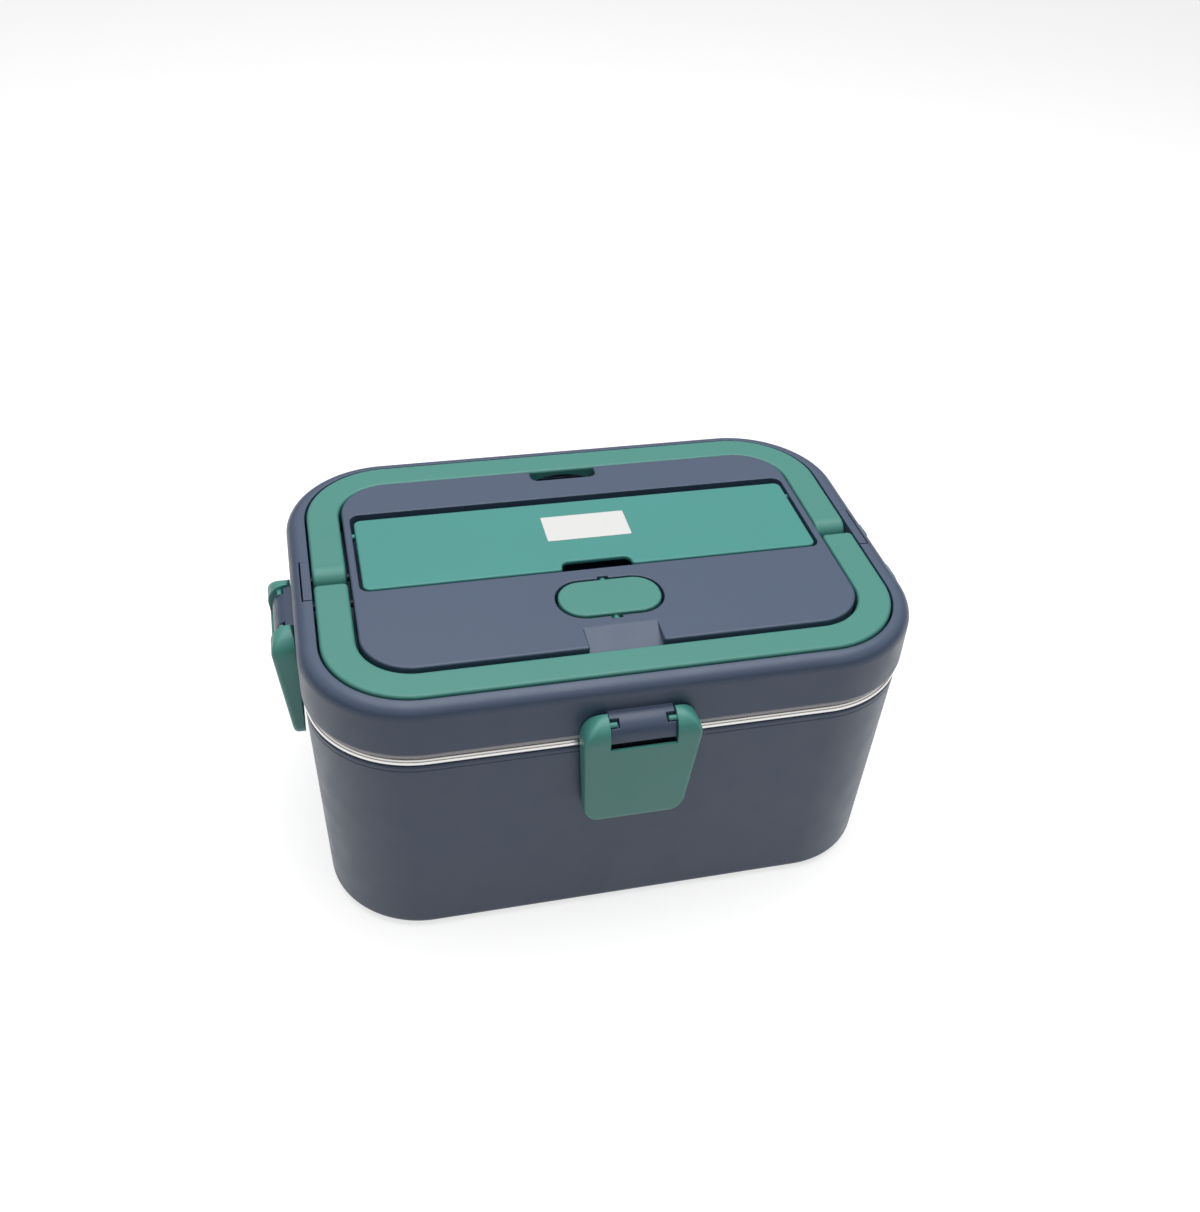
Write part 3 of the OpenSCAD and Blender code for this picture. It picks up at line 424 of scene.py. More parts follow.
def bump(tree, shader, heights, depth, strength=1.0, normal=None):
    """Raises the surface by a height signal, depth millimetres at most, over a normal if given."""
    made = tree.nodes.new("ShaderNodeBump")
    made.inputs["Strength"].default_value = strength
    made.inputs["Distance"].default_value = depth * MM
    tree.links.new(heights, made.inputs["Height"])
    if normal:
        tree.links.new(normal, made.inputs["Normal"])
    tree.links.new(made.outputs["Normal"], shader.inputs["Normal"])


# Sizes in a moulding's finish: patches of tint and of gloss, grain, and the rounding of its edges,
# which also sets the width of the painted edge highlight
TINT_PATCH, GLOSS_PATCH, GRAIN, EDGE_SHADED = 38, 9, 0.35, 0.45


def moulded(name, color, roughness=0.42, grain_depth=0.012):
    """Satin moulded plastic: a fine grain in the surface, a slow drift in the tint, a painted highlight
    that makes the edges paler, and gloss that varies with broad patches as handled plastic does."""
    made, tree, shader = new_material(name, color, roughness)
    point = object_point(tree)
    soft = soft_edges(tree, EDGE_SHADED)
    darker = tuple(c * 0.955 for c in color)
    lighter = tuple(min(1, c * 1.045) for c in color)
    # Painted highlight: edges are made paler in the base colour, standing for the light lines that
    # rounded edges catch
    pale = tuple(min(1, c * 1.35 + 0.012) for c in color)
    drift = blend(tree, noise(tree, point, TINT_PATCH, 3), darker, lighter)
    tree.links.new(blend(tree, edge_highlight_share(tree, soft), drift, pale), shader.inputs["Base Color"])
    handled = noise(tree, point, GLOSS_PATCH, 4)
    tree.links.new(between(tree, handled, roughness - 0.04, roughness + 0.05),
                   shader.inputs["Roughness"])
    bump(tree, shader, noise(tree, point, GRAIN, 1), grain_depth, 0.5, soft)
    return made


def metal(name, color, roughness, stretch, line_size, depth):
    """Metal with fine lines: noise that is stretched along the way it was drawn, turned or brushed."""
    made, tree, shader = new_material(name, color, roughness, 1.0)
    point = object_point(tree, stretch)
    lines = noise(tree, point, line_size, 3)
    tree.links.new(between(tree, lines, roughness * 0.8, roughness * 1.3), shader.inputs["Roughness"])
    bump(tree, shader, lines, depth, 0.35)
    return made


slate = moulded("slate_moulding", (0.066, 0.099, 0.168), 0.38)
green = moulded("green_moulding", (0.072, 0.296, 0.252))
cover_green = moulded("cover_green_moulding", (0.064, 0.324, 0.295))
# Painted light: the latches' green is the handles' green made lighter, to lift their side-facing faces,
# which get less light than the tops
painted_lit_latch_green = moulded("painted_lit_latch_green_moulding", (0.088, 0.352, 0.302), 0.38)
milky = moulded("milky_moulding", (0.6, 0.595, 0.64), 0.35, grain_depth=0.004)
silicone = moulded("beige_silicone", (0.42, 0.33, 0.27), 0.55, grain_depth=0.004)
rubber = moulded("black_rubber", (0.022, 0.022, 0.024), 0.7)
black = moulded("black_moulding", (0.018, 0.019, 0.021), 0.5)
ceramic = moulded("grey_ceramic", (0.05, 0.05, 0.052), 0.8)
brown_wire = moulded("brown_insulation", (0.10, 0.035, 0.016), 0.3)
blue_wire = moulded("blue_insulation", (0.014, 0.06, 0.22), 0.3)
film = moulded("white_film", (0.88, 0.88, 0.87), 0.38, grain_depth=0.002)
sheet_steel = metal("drawn_steel", (0.72, 0.715, 0.70), 0.2, (1, 1, 0.06), 0.35, 0.004)
screw_steel = metal("plated_steel", (0.62, 0.61, 0.59), 0.28, (1, 1, 1), 0.3, 0.004)
# Painted shade: the handle pins' steel is near black, standing for the shade of the narrow gaps they
# sit in, where plain steel would glint
shade_darkened_steel = metal("shade_darkened_steel", (0.055, 0.056, 0.06), 0.5, (0.1, 1, 1), 0.3, 0.004)
aluminium = metal("cast_aluminium", (0.70, 0.71, 0.72), 0.38, (1, 1, 1), 0.5, 0.01)
brass = metal("contact_brass", (0.78, 0.56, 0.24), 0.25, (1, 0.1, 1), 0.3, 0.003)

# Finishes of the CAD nodes that stay as they are
KEPT = {
    "base_cover": slate, "rubber_feet": rubber, "base_screws": screw_steel,
    "heating_plate": aluminium, "heater_tube": aluminium, "heating_elements": ceramic,
    "heater_straps": screw_steel, "strap_screws": screw_steel, "thermal_cutout": black,
    "inlet_pins": brass, "live_lead": brown_wire, "cutout_lead": brown_wire,
    "neutral_lead": blue_wire, "handle_pins": shade_darkened_steel, "inner_lid_screws": screw_steel,
    "top_plate_screws": screw_steel, "vent_plug": silicone, "power_inlet": black,
}
for node, material in KEPT.items():
    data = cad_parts[node].data
    data.materials.clear()
    data.materials.append(material)


# Sides: 0 front, 1 right, 2 back, 3 left


def at_side(side):
    """Matrix from a side's own frame (along, out, up) to the row frame: the front's is x along, out
    against y, and the others are that turned by quarter turns."""
    reach = HALF_X if side % 2 else HALF_Y
    angle = side * math.pi / 2
    c, s = round(math.cos(angle)), round(math.sin(angle))
    return [[c, s, 0, s * reach], [s, -c, 0, -c * reach], [0, 0, 1, 0]]


# Body


def make_shell():
    """The body: a leaning wall over a rounded foot. The wall's radius grows evenly with height."""
    foot, top = shell_low[2], shell_high[2]
    lean, thick = 3.2, 2.2
    open_r, ledge_r = 33.5, 26.5
    cover_top = span("base_cover")[1][2]
    ledge_top = cover_top + 1.8
    mouth_half, mouth_high = 11.1, 14.1

    def wall_at(z):
        return LIP_RADIUS - lean * (top - z) / (top - foot)

    made = Surface()
    profile_ring(made, BODY_X, BODY_Y, [
        (open_r, foot), (wall_at(foot), foot), (LIP_RADIUS, top), (wall_at(top) - thick, top),
        (wall_at(ledge_top) - thick, ledge_top), (ledge_r, ledge_top), (ledge_r, cover_top),
        (open_r, cover_top)], [0.3, 3.5, 0.45, 0.3, 0.8, 0.3, 0.3, 0.3])
    for side in range(4):
        made.join(catch_rib().moved(at_side(side)))
    mouth = Surface().slab(box_outline(-mouth_half, mouth_half, ledge_top, ledge_top + mouth_high, 0.5),
                           90, 60)
    mouth.moved(ALONG_Y)
    data = cut(solid(made, "shell"), [("DIFFERENCE", solid(mouth, "mouth"))])
    piece("outer_shell_moulding", data, slate, "base", ["outer_shell"])


CATCH_HALF = 10


def catch_rib():
    """The rib that a latch's hook closes over, drawn in (along, up) and standing out of the wall."""
    low, high = 81, 84
    made = Surface().slab(box_outline(-CATCH_HALF, CATCH_HALF, low, high, 0.5), 0.2, -3.0, 0.25, 0)
    return made.moved(ALONG_Y)


def make_well():
    """The well: a lip that caps the body, a skirt inside the body's edge, a wall and a floor ring."""
    top, shelf = well_high[2], shell_high[2]
    inner, wall, hole = 29.6, 1.8, 12.3
    outer = inner + wall
    skirt_in, skirt_out = 36.9, 38.5
    under, skirt_foot = shelf - 1.6, shelf - 4
    floor = span("heating_plate")[1][2] - 2.8
    made = Surface()
    profile_ring(made, BODY_X, BODY_Y, [
        (hole, floor), (outer, floor), (outer, under), (skirt_in, under),
        (skirt_in, skirt_foot), (skirt_out, skirt_foot), (skirt_out, shelf), (LIP_RADIUS, shelf),
        (LIP_RADIUS, top), (inner, top), (inner, floor + wall), (hole, floor + wall)],
        [0.2, 0.8, 0.2, 0.2, 0.2, 0.2, 0.1, 0.3, 0.6, 1.0, 1.2, 0.3])
    piece("well_moulding", made.mesh("well"), slate, "base", ["inner_well"])


def make_pot():
    """The container: a deep drawn tray of sheet steel whose edge is rolled into a bead. Its inner
    line is the outer one offset by the sheet, and the bead is a little over three quarters of a
    circle."""
    bottom, top = pot_low[2], pot_high[2]
    out, sheet, fillet, turn_out, bead = 29.0, 0.7, 8.0, 2.2, 1.6
    flange = top - sheet
    foot = [out - fillet, bottom + fillet]
    neck = [out + turn_out, flange - turn_out]
    meet = math.degrees(math.asin((bead - sheet) / bead))
    roll = round_of(bead, pot_high[0] - BODY_X - bead, top - bead, -180 - meet, 90)
    under = np.concatenate([[(0, bottom)], quarter(fillet, -90) + foot,
                            (quarter(turn_out, 90) + neck)[::-1]])
    over = np.concatenate([[(0, bottom + sheet)], quarter(fillet - sheet, -90) + foot,
                           (quarter(turn_out + sheet, 90) + neck)[::-1]])
    line = np.concatenate([under, roll, over[::-1]])
    made = Surface()
    made.grid(belt(BODY_X, BODY_Y, line[:, 0], line[:, 1]))
    for z in (bottom, bottom + sheet):
        made.cap(np.array([(x, y, z) for x, y in ((BODY_X, BODY_Y), (-BODY_X, BODY_Y),
                                                  (-BODY_X, -BODY_Y), (BODY_X, -BODY_Y))]))
    piece("container_steel", made.mesh("pot"), sheet_steel, "container", ["steel_container"])


# Lid


def make_inner_lid():
    """The inner lid: a tray that plugs the container, with a band that shows under the lid."""
    top, bottom, seat = band_high[2], band_low[2], gasket_high[2]
    plug, wall, reach = 27.7, 1.8, BODY_RADIUS - 0.8
    lip, lip_low = reach + 0.55, LID_BOTTOM - 0.9
    made = Surface()
    line = rounded([
        (0, bottom), (plug, bottom), (plug, seat), (reach, seat), (reach, lip_low),
        (lip, lip_low), (lip, LID_BOTTOM), (plug - wall, LID_BOTTOM),
        (plug - wall, bottom + wall), (0, bottom + wall)],
        [0, 1.2, 0.4, 0.35, 0.1, 0.25, 0.3, 0.3, 0.5, 0])[0]
    made.grid(belt(BODY_X, BODY_Y, line[:, 0], line[:, 1]))
    for z in (bottom, bottom + wall):
        made.cap(belt(BODY_X, BODY_Y, 0, z)[0][::CORNER_STEPS + 1])
    vent = vent_place()
    screws = screw_places("inner_lid_screws")
    tube = Surface().slab(disc_outline(*vent, 4.5), top, bottom, 0.4, 0)
    cups = Surface()
    for x, y in screws:
        peg(cups, x, y, 4.6, bottom, bottom + 4)
    bores = Surface()
    bores.slab(disc_outline(*vent, 3), top + 2, bottom - 2)
    for x, y in screws:
        bores.slab(disc_outline(x, y, 3), bottom + 1.8, bottom - 2)
    data = cut(solid(made, "tray"), [("UNION", solid(tube, "tube")), ("UNION", solid(cups, "cups")),
                                     ("DIFFERENCE", solid(bores, "bores"))])
    piece("inner_lid_moulding", data, milky, "lid", ["inner_lid"], 0.25)


def vent_place():
    """Middle of the vent, from the plug's box."""
    low, high = span("vent_plug")
    return (low[0] + high[0]) / 2, (low[1] + high[1]) / 2


def screw_places(node, head=2.7):
    """Four places of a node's screws, from the corners of its box."""
    low, high = span(node)
    return [(x, y) for x in (low[0] + head, high[0] - head) for y in (low[1] + head, high[1] - head)]


def make_gasket():
    """The gasket: a flat ring with softened edges."""
    low, high = gasket_low[2], gasket_high[2]
    inner, outer = 30.0, gasket_high[0] - BODY_X
    made = Surface()
    profile_ring(made, BODY_X, BODY_Y, [(inner, low), (outer, low), (outer, high), (inner, high)], 0.25)
    piece("lid_gasket_ring", made.mesh("gasket"), silicone, "lid", ["lid_gasket"])


def make_lid():
    """The lid: its wall and broad top edge follow the body's corners, and the handle groove has
    corner centres of its own, so each point of the profile says which of the two it follows."""
    top, bottom, deck = LID_TOP, LID_BOTTOM, plate_low[2]
    thick, foot, rim, fillet = 2.4, 0.5, 0.32, 0.8
    body, groove = (BODY_X, BODY_Y), (GROOVE_X, GROOVE_Y)
    stretches = [
        (body, [(BODY_RADIUS - thick, bottom)]),
        (body, quarter(foot, -90) + [BODY_RADIUS - foot, bottom + foot]),
        (body, quarter(LID_ROUND, 0) + [BODY_RADIUS - LID_ROUND, top - LID_ROUND]),
        (groove, quarter(rim, 90) + [GROOVE_RADIUS + rim, top - rim]),
        (groove, quarter(fillet, -90)[::-1] + [GROOVE_RADIUS - fillet, deck + fillet]),
        (groove, [(0, deck)]),
    ]
    outside = np.concatenate([belt(*centre, *np.transpose(points)) for centre, points in stretches])
    inside = np.concatenate([
        belt(*groove, 0, deck - WALL), belt(*groove, GROOVE_RADIUS + WALL, deck - WALL),
        belt(*groove, GROOVE_RADIUS + WALL, top - WALL),
        belt(*body, BODY_RADIUS - thick, top - WALL), outside[:1]])
    made = Surface().grid(outside).grid(inside)
    for z in (deck, deck - WALL):
        made.cap(belt(*groove, 0, z)[0][::CORNER_STEPS + 1])
    for x, y in screw_places("inner_lid_screws"):
        peg(made, x, y, 3.4, band_low[2] + 4, deck - WALL + 0.5)
    cutters = Surface()
    gap, hairline, toward = 0.6, 0.06, 3.0
    for node in ("pin_clip_left", "pin_clip_right"):
        low, high = span(node)
        x0 = low[0] - (gap if low[0] < 0 else toward)
        x1 = high[0] + (gap if low[0] > 0 else toward)
        cutters.slab(box_outline(x0, x1, low[1] - gap, high[1] + hairline, 0), top + 2, low[2] - 0.1)
    cutters.slab(disc_outline(*vent_place(), 4.8), deck + 1, deck - WALL - 1)
    data = cut(solid(made, "lid"), [("DIFFERENCE", solid(cutters, "cutters"))])
    blocks = Surface()
    for side in range(4):
        blocks.join(latch_block().moved(at_side(side)))
    data = joined(data, blocks.mesh("blocks"))
    piece("lid_moulding", data, slate, "lid", ["lid_shell"])


def joined(*parts):
    """One mesh that holds several, each still its own closed skin, with its sharp edges marked."""
    work = bmesh.new()
    for part in parts:
        work.from_mesh(part)
    made = bpy.data.meshes.new("joined")
    work.to_mesh(made)
    work.free()
    made.set_sharp_from_angle(angle=SHARP_ANGLE)
    return made


# The latches' pivot and the blocks that carry them, in a side's own frame
PIVOT_OUT, PIVOT_Z = 4.8, 108.0
BLOCK_HALF, BLOCK_OUT, BLOCK_TOP = 12.2, 8.0, 110.5
WINDOW_HALF = BLOCK_HALF + 0.3


def latch_block():
    """The block between a latch's ears: a quarter round over a straight front, carried along the
    side, with a seat for the latch's pin cut into each end."""
    low, start = LID_BOTTOM + 1.1, BLOCK_TOP - BLOCK_OUT
    root, seat = -1.2, 1.5
    foot = [(root, low), (BLOCK_OUT - 0.3, low), (BLOCK_OUT, low + 0.3)]
    whole = np.concatenate([foot, round_of(BLOCK_OUT, 0, start, 0, 90), [(root, BLOCK_TOP)]])
    apart = math.hypot(PIVOT_OUT, PIVOT_Z - start)
    middle = math.degrees(math.atan2(PIVOT_Z - start, PIVOT_OUT))
    turn = math.degrees(math.acos((BLOCK_OUT ** 2 + apart ** 2 - seat ** 2) / (2 * BLOCK_OUT * apart)))
    outer = middle - turn
    edge_z = start + BLOCK_OUT * math.sin(math.radians(outer))
    opening = math.degrees(math.asin((edge_z - PIVOT_Z) / seat))
    inner = math.degrees(math.acos((PIVOT_OUT - seat) / BLOCK_OUT))
    notched = np.concatenate([
        foot, round_of(BLOCK_OUT, 0, start, 0, outer),
        round_of(seat, PIVOT_OUT, PIVOT_Z, opening, -180)[1:],
        round_of(BLOCK_OUT, 0, start, inner, 90), [(root, BLOCK_TOP)]])
    ends = BLOCK_HALF - 3.5
    made = bar(whole, -ends, ends)
    made.join(bar(notched, ends, BLOCK_HALF, high_round=0.3))
    return made.join(bar(notched, -BLOCK_HALF, -ends, low_round=0.3))


def make_clips():
    """The clips that hold the handle pins: the stretch of the lid's rim inside each clip's box."""
    under = LID_TOP - 12
    over = quarter(LID_ROUND, 0) + [BODY_RADIUS - LID_ROUND, LID_TOP - LID_ROUND]
    reach, height = np.transpose(np.concatenate([[(BODY_RADIUS, under)], over]))
    for side in ("left", "right"):
        low, high = span(f"pin_clip_{side}")
        made = Surface().grid(belt(BODY_X, BODY_Y, reach, height))
        made.cap(belt(BODY_X, BODY_Y, BODY_RADIUS, under)[0])
        made.cap(belt(BODY_X, BODY_Y, BODY_RADIUS - LID_ROUND, LID_TOP)[0])
        keep = brick(low[0], high[0], low[1], high[1], low[2], LID_TOP + 2)
        data = cut(solid(made, "rim"), [("INTERSECT", solid(keep, "keep"))])
        piece(f"{side}_pin_clip", data, slate, "lid", [f"pin_clip_{side}"], 0.12)


# Top plate and what it carries


def make_plate():
    """The top plate: a flat piece whose outline takes in the finger opening at the back and the
    slope at the front, with the tray's and the rocker's openings in it."""
    top, deck = plate_high[2], plate_low[2]
    x, y = plate_high[0], plate_high[1]
    corner = x - GROOVE_X
    finger, depth, ramp = FINGER_HALF, 7.3, 11.1
    line = rounded([
        (-x, -y), (-finger, -y), (-finger, ramp - y), (finger, ramp - y), (finger, -y), (x, -y),
        (x, y), (finger, y), (finger, y - depth), (-finger, y - depth), (-finger, y), (-x, y)],
        [corner, 0.9, 0.2, 0.2, 0.9, corner, corner, 0.9, 3, 3, 0.9, corner])
    tray = tray_outline()
    hole = rocker_hole()
    made = Surface()
    soft = 0.8
    outer = made.rim(line, edge(top, deck, soft, 0))
    tray_rim = made.rim(tray, edge(top, deck + 1.6, 0.35, 0), -1)
    hole_rim = made.rim(hole, edge(top, deck + 1, 0.35, 0), -1)
    made.cap(outer[0], tray_rim[0], hole_rim[0])
    made.cap(outer[1])
    made.cap(tray_rim[1])
    made.cap(hole_rim[1])
    data = cut(solid(made, "plate"), [("DIFFERENCE", solid(cover_pin_bores(), "bores"))])
    slope = front_slope(finger, ramp, top, deck, y)
    piece("top_plate_moulding", joined(data, slope.mesh("slope")), slate, "lid", ["top_plate"])


def front_slope(half, length, top, deck, y):
    """The slope that leads a finger down to the front handle, carried across its width."""
    drop = 5.0
    side = rounded([(-y, deck), (length - y + 0.6, deck), (length - y + 0.6, top - 0.15),
                    (length - y, top), (-y, top - drop)], [0, 0, 0, 1.2, 0.8])
    return Surface().slab(side, half + 0.1, -half - 0.1).moved(ALONG_X)


TRAY_X = plate_high[0] - 2.9
COVER_X, NOTCH_DEPTH = TRAY_X - 1.3, 5.0
COVER_PIN_Y, COVER_PIN_Z = 26.3, 120.8


def tray_outline():
    """Opening of the cutlery tray."""
    return box_outline(-TRAY_X, TRAY_X, cover_low[1] - 1.1, cover_high[1] + 3.8, 4)


def cover_pin_bores():
    """Bores in the tray's ends for the cover's pins."""
    made = Surface()
    for side in (-1, 1):
        ends = side * (TRAY_X - 1), side * (TRAY_X + 1.4)
        made.join(rod(ALONG_X, COVER_PIN_Y, COVER_PIN_Z, 1.3, ends, 0))
    return made


def rocker_hole():
    """Opening round the rocker, with a notch for its pin at the front and the back."""
    x, y = rocker_high[0] + 1.1, 11.6
    middle = (rocker_low[1] + rocker_high[1]) / 2
    half, notch = 2.1, 1.3
    return rounded([
        (-x, middle - y), (-half, middle - y), (-half, middle - y - notch),
        (half, middle - y - notch), (half, middle - y), (x, middle - y),
        (x, middle + y), (half, middle + y), (half, middle + y + notch),
        (-half, middle + y + notch), (-half, middle + y), (-x, middle + y)],
        [11.1, 0.4, 0.36, 0.36, 0.4, 11.1, 11.1, 0.4, 0.36, 0.36, 0.4, 11.1])


def cover_line():
    """Outline of the cutlery cover with its finger notch."""
    x, half = COVER_X, FINGER_HALF
    front, back = cover_low[1], cover_high[1]
    return rounded([
        (-x, front), (-half, front), (-half, front + NOTCH_DEPTH), (half, front + NOTCH_DEPTH),
        (half, front), (x, front), (x, back), (-x, back)], [3, 1.6, 3, 3, 1.6, 3, 3, 3])


def skirt_line(wall):
    """Outline of the cover's skirt: it follows the cover's edge and stops beside the notch."""
    x, half = COVER_X, FINGER_HALF + 1.6
    front, back = cover_low[1], cover_high[1]
    return rounded([
        (half, front), (x, front), (x, back), (-x, back), (-x, front), (-half, front),
        (-half, front + wall), (wall - x, front + wall), (wall - x, back - wall),
        (x - wall, back - wall), (x - wall, front + wall), (half, front + wall)],
        [0.1, 3, 3, 3, 3, 0.1, 0.1, 1.2, 1.2, 1.2, 1.2, 0.1])


def make_cover():
    """The cutlery cover: a thin skin on a skirt, with lugs and two pins. The skin overhangs at the
    notch, so that a fingertip gets under it."""
    top, low = cover_high[2], cover_low[2]
    under = top - 1.6
    made = Surface()
    made.slab(cover_line(), top, under, 0.8, 0)
    made.slab(skirt_line(1.8), under, low, 0, 0.3)
    lug = 2.6
    for side in (-1, 1):
        x = side * COVER_X
        ends = sorted((x - side * 6, x - side * 0.4))
        made.slab(box_outline(*ends, COVER_PIN_Y - lug, COVER_PIN_Y + lug, 0.4), top - 0.5, low, 0, 0.3)
        made.join(rod(ALONG_X, COVER_PIN_Y, COVER_PIN_Z, 1.2, (x - side * 3, x + side * 2.5)))
    piece("cutlery_cover_moulding", made.mesh("cover"), cover_green, "cutlery_cover",
          ["cutlery_cover"])
    blank = Surface().slab(box_outline(label_low[0], label_high[0], label_low[1], label_high[1], 0.6),
                           label_high[2], label_low[2], 0.06, 0)
    piece("bare_label", blank.mesh("label"), film, "cutlery_cover", ["blank_label"])


def make_rocker():
    """The rocker: an oval button with softened edges and a pin at the front and the back."""
    x = rocker_high[0]
    middle = (rocker_low[1] + rocker_high[1]) / 2
    half = 10.5
    top, low = rocker_high[2], rocker_low[2]
    made = Surface()
    made.slab(box_outline(-x, x, middle - half, middle + half, 10), top, low, 0.85, 0.3)
    for side in (-1, 1):
        ends = middle + side * (half - 2), middle + side * (half + 2.4)
        made.join(rod(ALONG_Y, 0, top - 2.4, 1.2, ends))
    piece("vent_rocker_button", made.mesh("rocker"), green, "vent_rocker", ["vent_rocker"])


# Handles

BAR_W, BAR_H, BAR_EDGE = 12.9, 8.4, 1.25
CHANNEL_WALL, CHANNEL_H = 2.2, 4.8
SOLID_END = 12.0


def bar_section():
    """Section of a handle's bar about its middle, as (distance out, height, share of the channel):
    rounded top edges over an open channel, whose roof drops to the bottom where the share is 0."""
    half = BAR_W / 2
    right = quarter(BAR_EDGE, 0) + [half - BAR_EDGE, BAR_H - BAR_EDGE]
    left = quarter(BAR_EDGE, 90) + [BAR_EDGE - half, BAR_H - BAR_EDGE]
    inner = half - CHANNEL_WALL
    foot = [(-half, 0), (-inner, 0)]
    roof = [(-inner, CHANNEL_H), (inner, CHANNEL_H)]
    outer = [(inner, 0), (half, 0)]
    points = np.concatenate([right, left, foot, roof, outer])
    channel = np.zeros(len(points))
    channel[len(right) + len(left) + 2:len(right) + len(left) + 4] = 1
    return points, channel


def half_ring(end, stations):
    """Middle line of half the handle ring as rows of (x, y, facing x, facing y, distance from the
    end): up one leg, round two corners and down the other. stations are distances from the end."""
    middle = RING_OUT - BAR_W / 2
    leg = GROOVE_Y - end
    down = np.array(stations + [leg])
    sweep = np.linspace(0, math.pi / 2, CORNER_STEPS + 1)
    rows = [np.stack([np.full(len(down), -GROOVE_X), -end - down, np.full(len(down), -1.0),
                      np.zeros(len(down)), down], 1)]
    for x, start in ((-GROOVE_X, math.pi), (GROOVE_X, 1.5 * math.pi)):
        facing = np.stack([np.cos(start + sweep), np.sin(start + sweep)], 1)
        place = np.broadcast_to([x, -GROOVE_Y], facing.shape)
        rows.append(np.concatenate([place, facing, np.full((len(sweep), 1), leg)], 1))
    other = rows[0][::-1].copy()
    other[:, [0, 2]] *= -1
    rows.append(other)
    return np.concatenate(rows), middle


def handle_bar(end, end_width, end_height):
    """Carries the bar's section along half the ring. Near each end the section is scaled about its
    middle to the width and height that the two functions give for the distance from the end."""
    stations = sorted(set(np.round(3.0 * (1 - np.cos(np.linspace(0, math.pi / 2, 9))), 4).tolist()
                          + [4.5, SOLID_END - 0.01, SOLID_END + 0.01]))
    rows, middle = half_ring(end, stations)
    points, channel = bar_section()
    from_end = rows[:, 4]
    out = middle + points[:, 0] * end_width(from_end)[:, None]
    opened = (from_end > SOLID_END)[:, None]
    height = np.where(channel > 0, points[:, 1] * opened, points[:, 1]) * end_height(from_end)[:, None]
    place = np.stack([rows[:, 0, None] + rows[:, 2, None] * out,
                      rows[:, 1, None] + rows[:, 3, None] * out,
                      ring_high[2] - BAR_H + height], 2)
    made = Surface()
    made.grid(place)
    made.cap(place[0])
    made.cap(place[-1])
    return made


def rounding(distance, radius, full):
    """Share of the full size at a distance from a rounded end: full less the radius, plus the rise
    of a quarter circle."""
    t = np.clip(distance, 0, radius)
    return (full - radius + np.sqrt(radius ** 2 - (radius - t) ** 2)) / full


def make_front_handle():
    """The front handle: its ends are square with rounded corners."""
    made = handle_bar(-ring_high[1], lambda s: rounding(s, 2.4, BAR_W / 2),
                      lambda s: rounding(s, 1.6, BAR_H))
    piece("front_handle_grip", made.mesh("front_handle"), green, "front_handle", ["front_handle"])


def make_back_handle():
    """The back handle: the bar's top runs on round a barrel at each end, which turns on a pin, and a
    low arch is cut under the bar's inner wall for a fingertip."""
    pivot_y, pivot_z, barrel = 6.0, 116.4, 5.9
    made = handle_bar(pivot_y, np.ones_like, np.ones_like)
    made.moved([[1, 0, 0, 0], [0, -1, 0, 0], [0, 0, 1, 0]])
    arch_radius, arch_rise = 28.6, 5.7
    inner_y = GROOVE_Y + RING_OUT - BAR_W
    arch = rod(ALONG_Y, 0, ring_high[2] - BAR_H + arch_rise - arch_radius, arch_radius,
               (inner_y - 2, inner_y + CHANNEL_WALL + 0.3), 0)
    data = cut(solid(made, "ring"), [("DIFFERENCE", solid(arch, "arch"))])
    inner = GROOVE_X + RING_OUT - BAR_W
    barrels = Surface()
    for side in (-1, 1):
        ends = side * inner, side * (inner + BAR_W)
        barrels.join(rod(ALONG_X, pivot_y, pivot_z, barrel, ends, BAR_EDGE))
    piece("back_handle_grip", joined(data, barrels.mesh("barrels")), green, "back_handle",
          ["back_handle"])


# Latches

LATCH_WALL, LATCH_IN = 1.3, 0.5
FACE_D, FACE_SLOPE = 9.5, 0.107
EAR_TOP, EAR_CORNER = 3.0, 9.5
EAR_IN = PIVOT_OUT - math.sqrt((PIVOT_OUT - LATCH_IN) ** 2 - EAR_TOP ** 2)
EAR_ROUND = FACE_D - EAR_IN
FACE_Z = PIVOT_Z + EAR_TOP - EAR_ROUND
LATCH_HIGH, LATCH_LOW = PIVOT_Z + EAR_TOP, float(latch_low[2])
FOOT_ROUND, FOOT_CORNER = 4.0, 8.8
TOE_Z = LATCH_LOW + FOOT_ROUND
LATCH_TOP, LATCH_FOOT = latch_high[0], 19.8
SIDE_ROUND = 1.9


def circle_rise(radius, distance):
    """Height of a quarter circle at a distance from its middle."""
    return np.sqrt(np.maximum(radius ** 2 - np.clip(distance, 0, radius) ** 2, 0))


def face_depth(z, wall):
    """Depth of a latch's face at a height: a quarter round at the ears, an even taper below it, and
    a quarter round at the foot. All of them are drawn in by a wall."""
    taper = FACE_D - FACE_SLOPE * (FACE_Z - z) - wall
    ear = EAR_IN + circle_rise(EAR_ROUND - wall, z - FACE_Z)
    middle = FACE_D - FACE_SLOPE * (FACE_Z - TOE_Z) - FOOT_ROUND
    toe = middle + circle_rise(FOOT_ROUND - wall, TOE_Z - z)
    return np.where(z > FACE_Z, ear, np.where(z < TOE_Z, toe, taper))


def half_width(z, wall):
    """Half the width of a latch at a height: straight sides between the foot's and the ears' arcs."""
    foot_z, ear_z = LATCH_LOW + FOOT_CORNER, LATCH_HIGH - EAR_CORNER
    straight = np.interp(z, [foot_z, ear_z], [LATCH_FOOT, LATCH_TOP]) - wall
    foot = LATCH_FOOT - FOOT_CORNER + circle_rise(FOOT_CORNER - wall, foot_z - z)
    ear = LATCH_TOP - EAR_CORNER + circle_rise(EAR_CORNER - wall, z - ear_z)
    return np.where(z < foot_z, foot, np.where(z > ear_z, ear, straight))


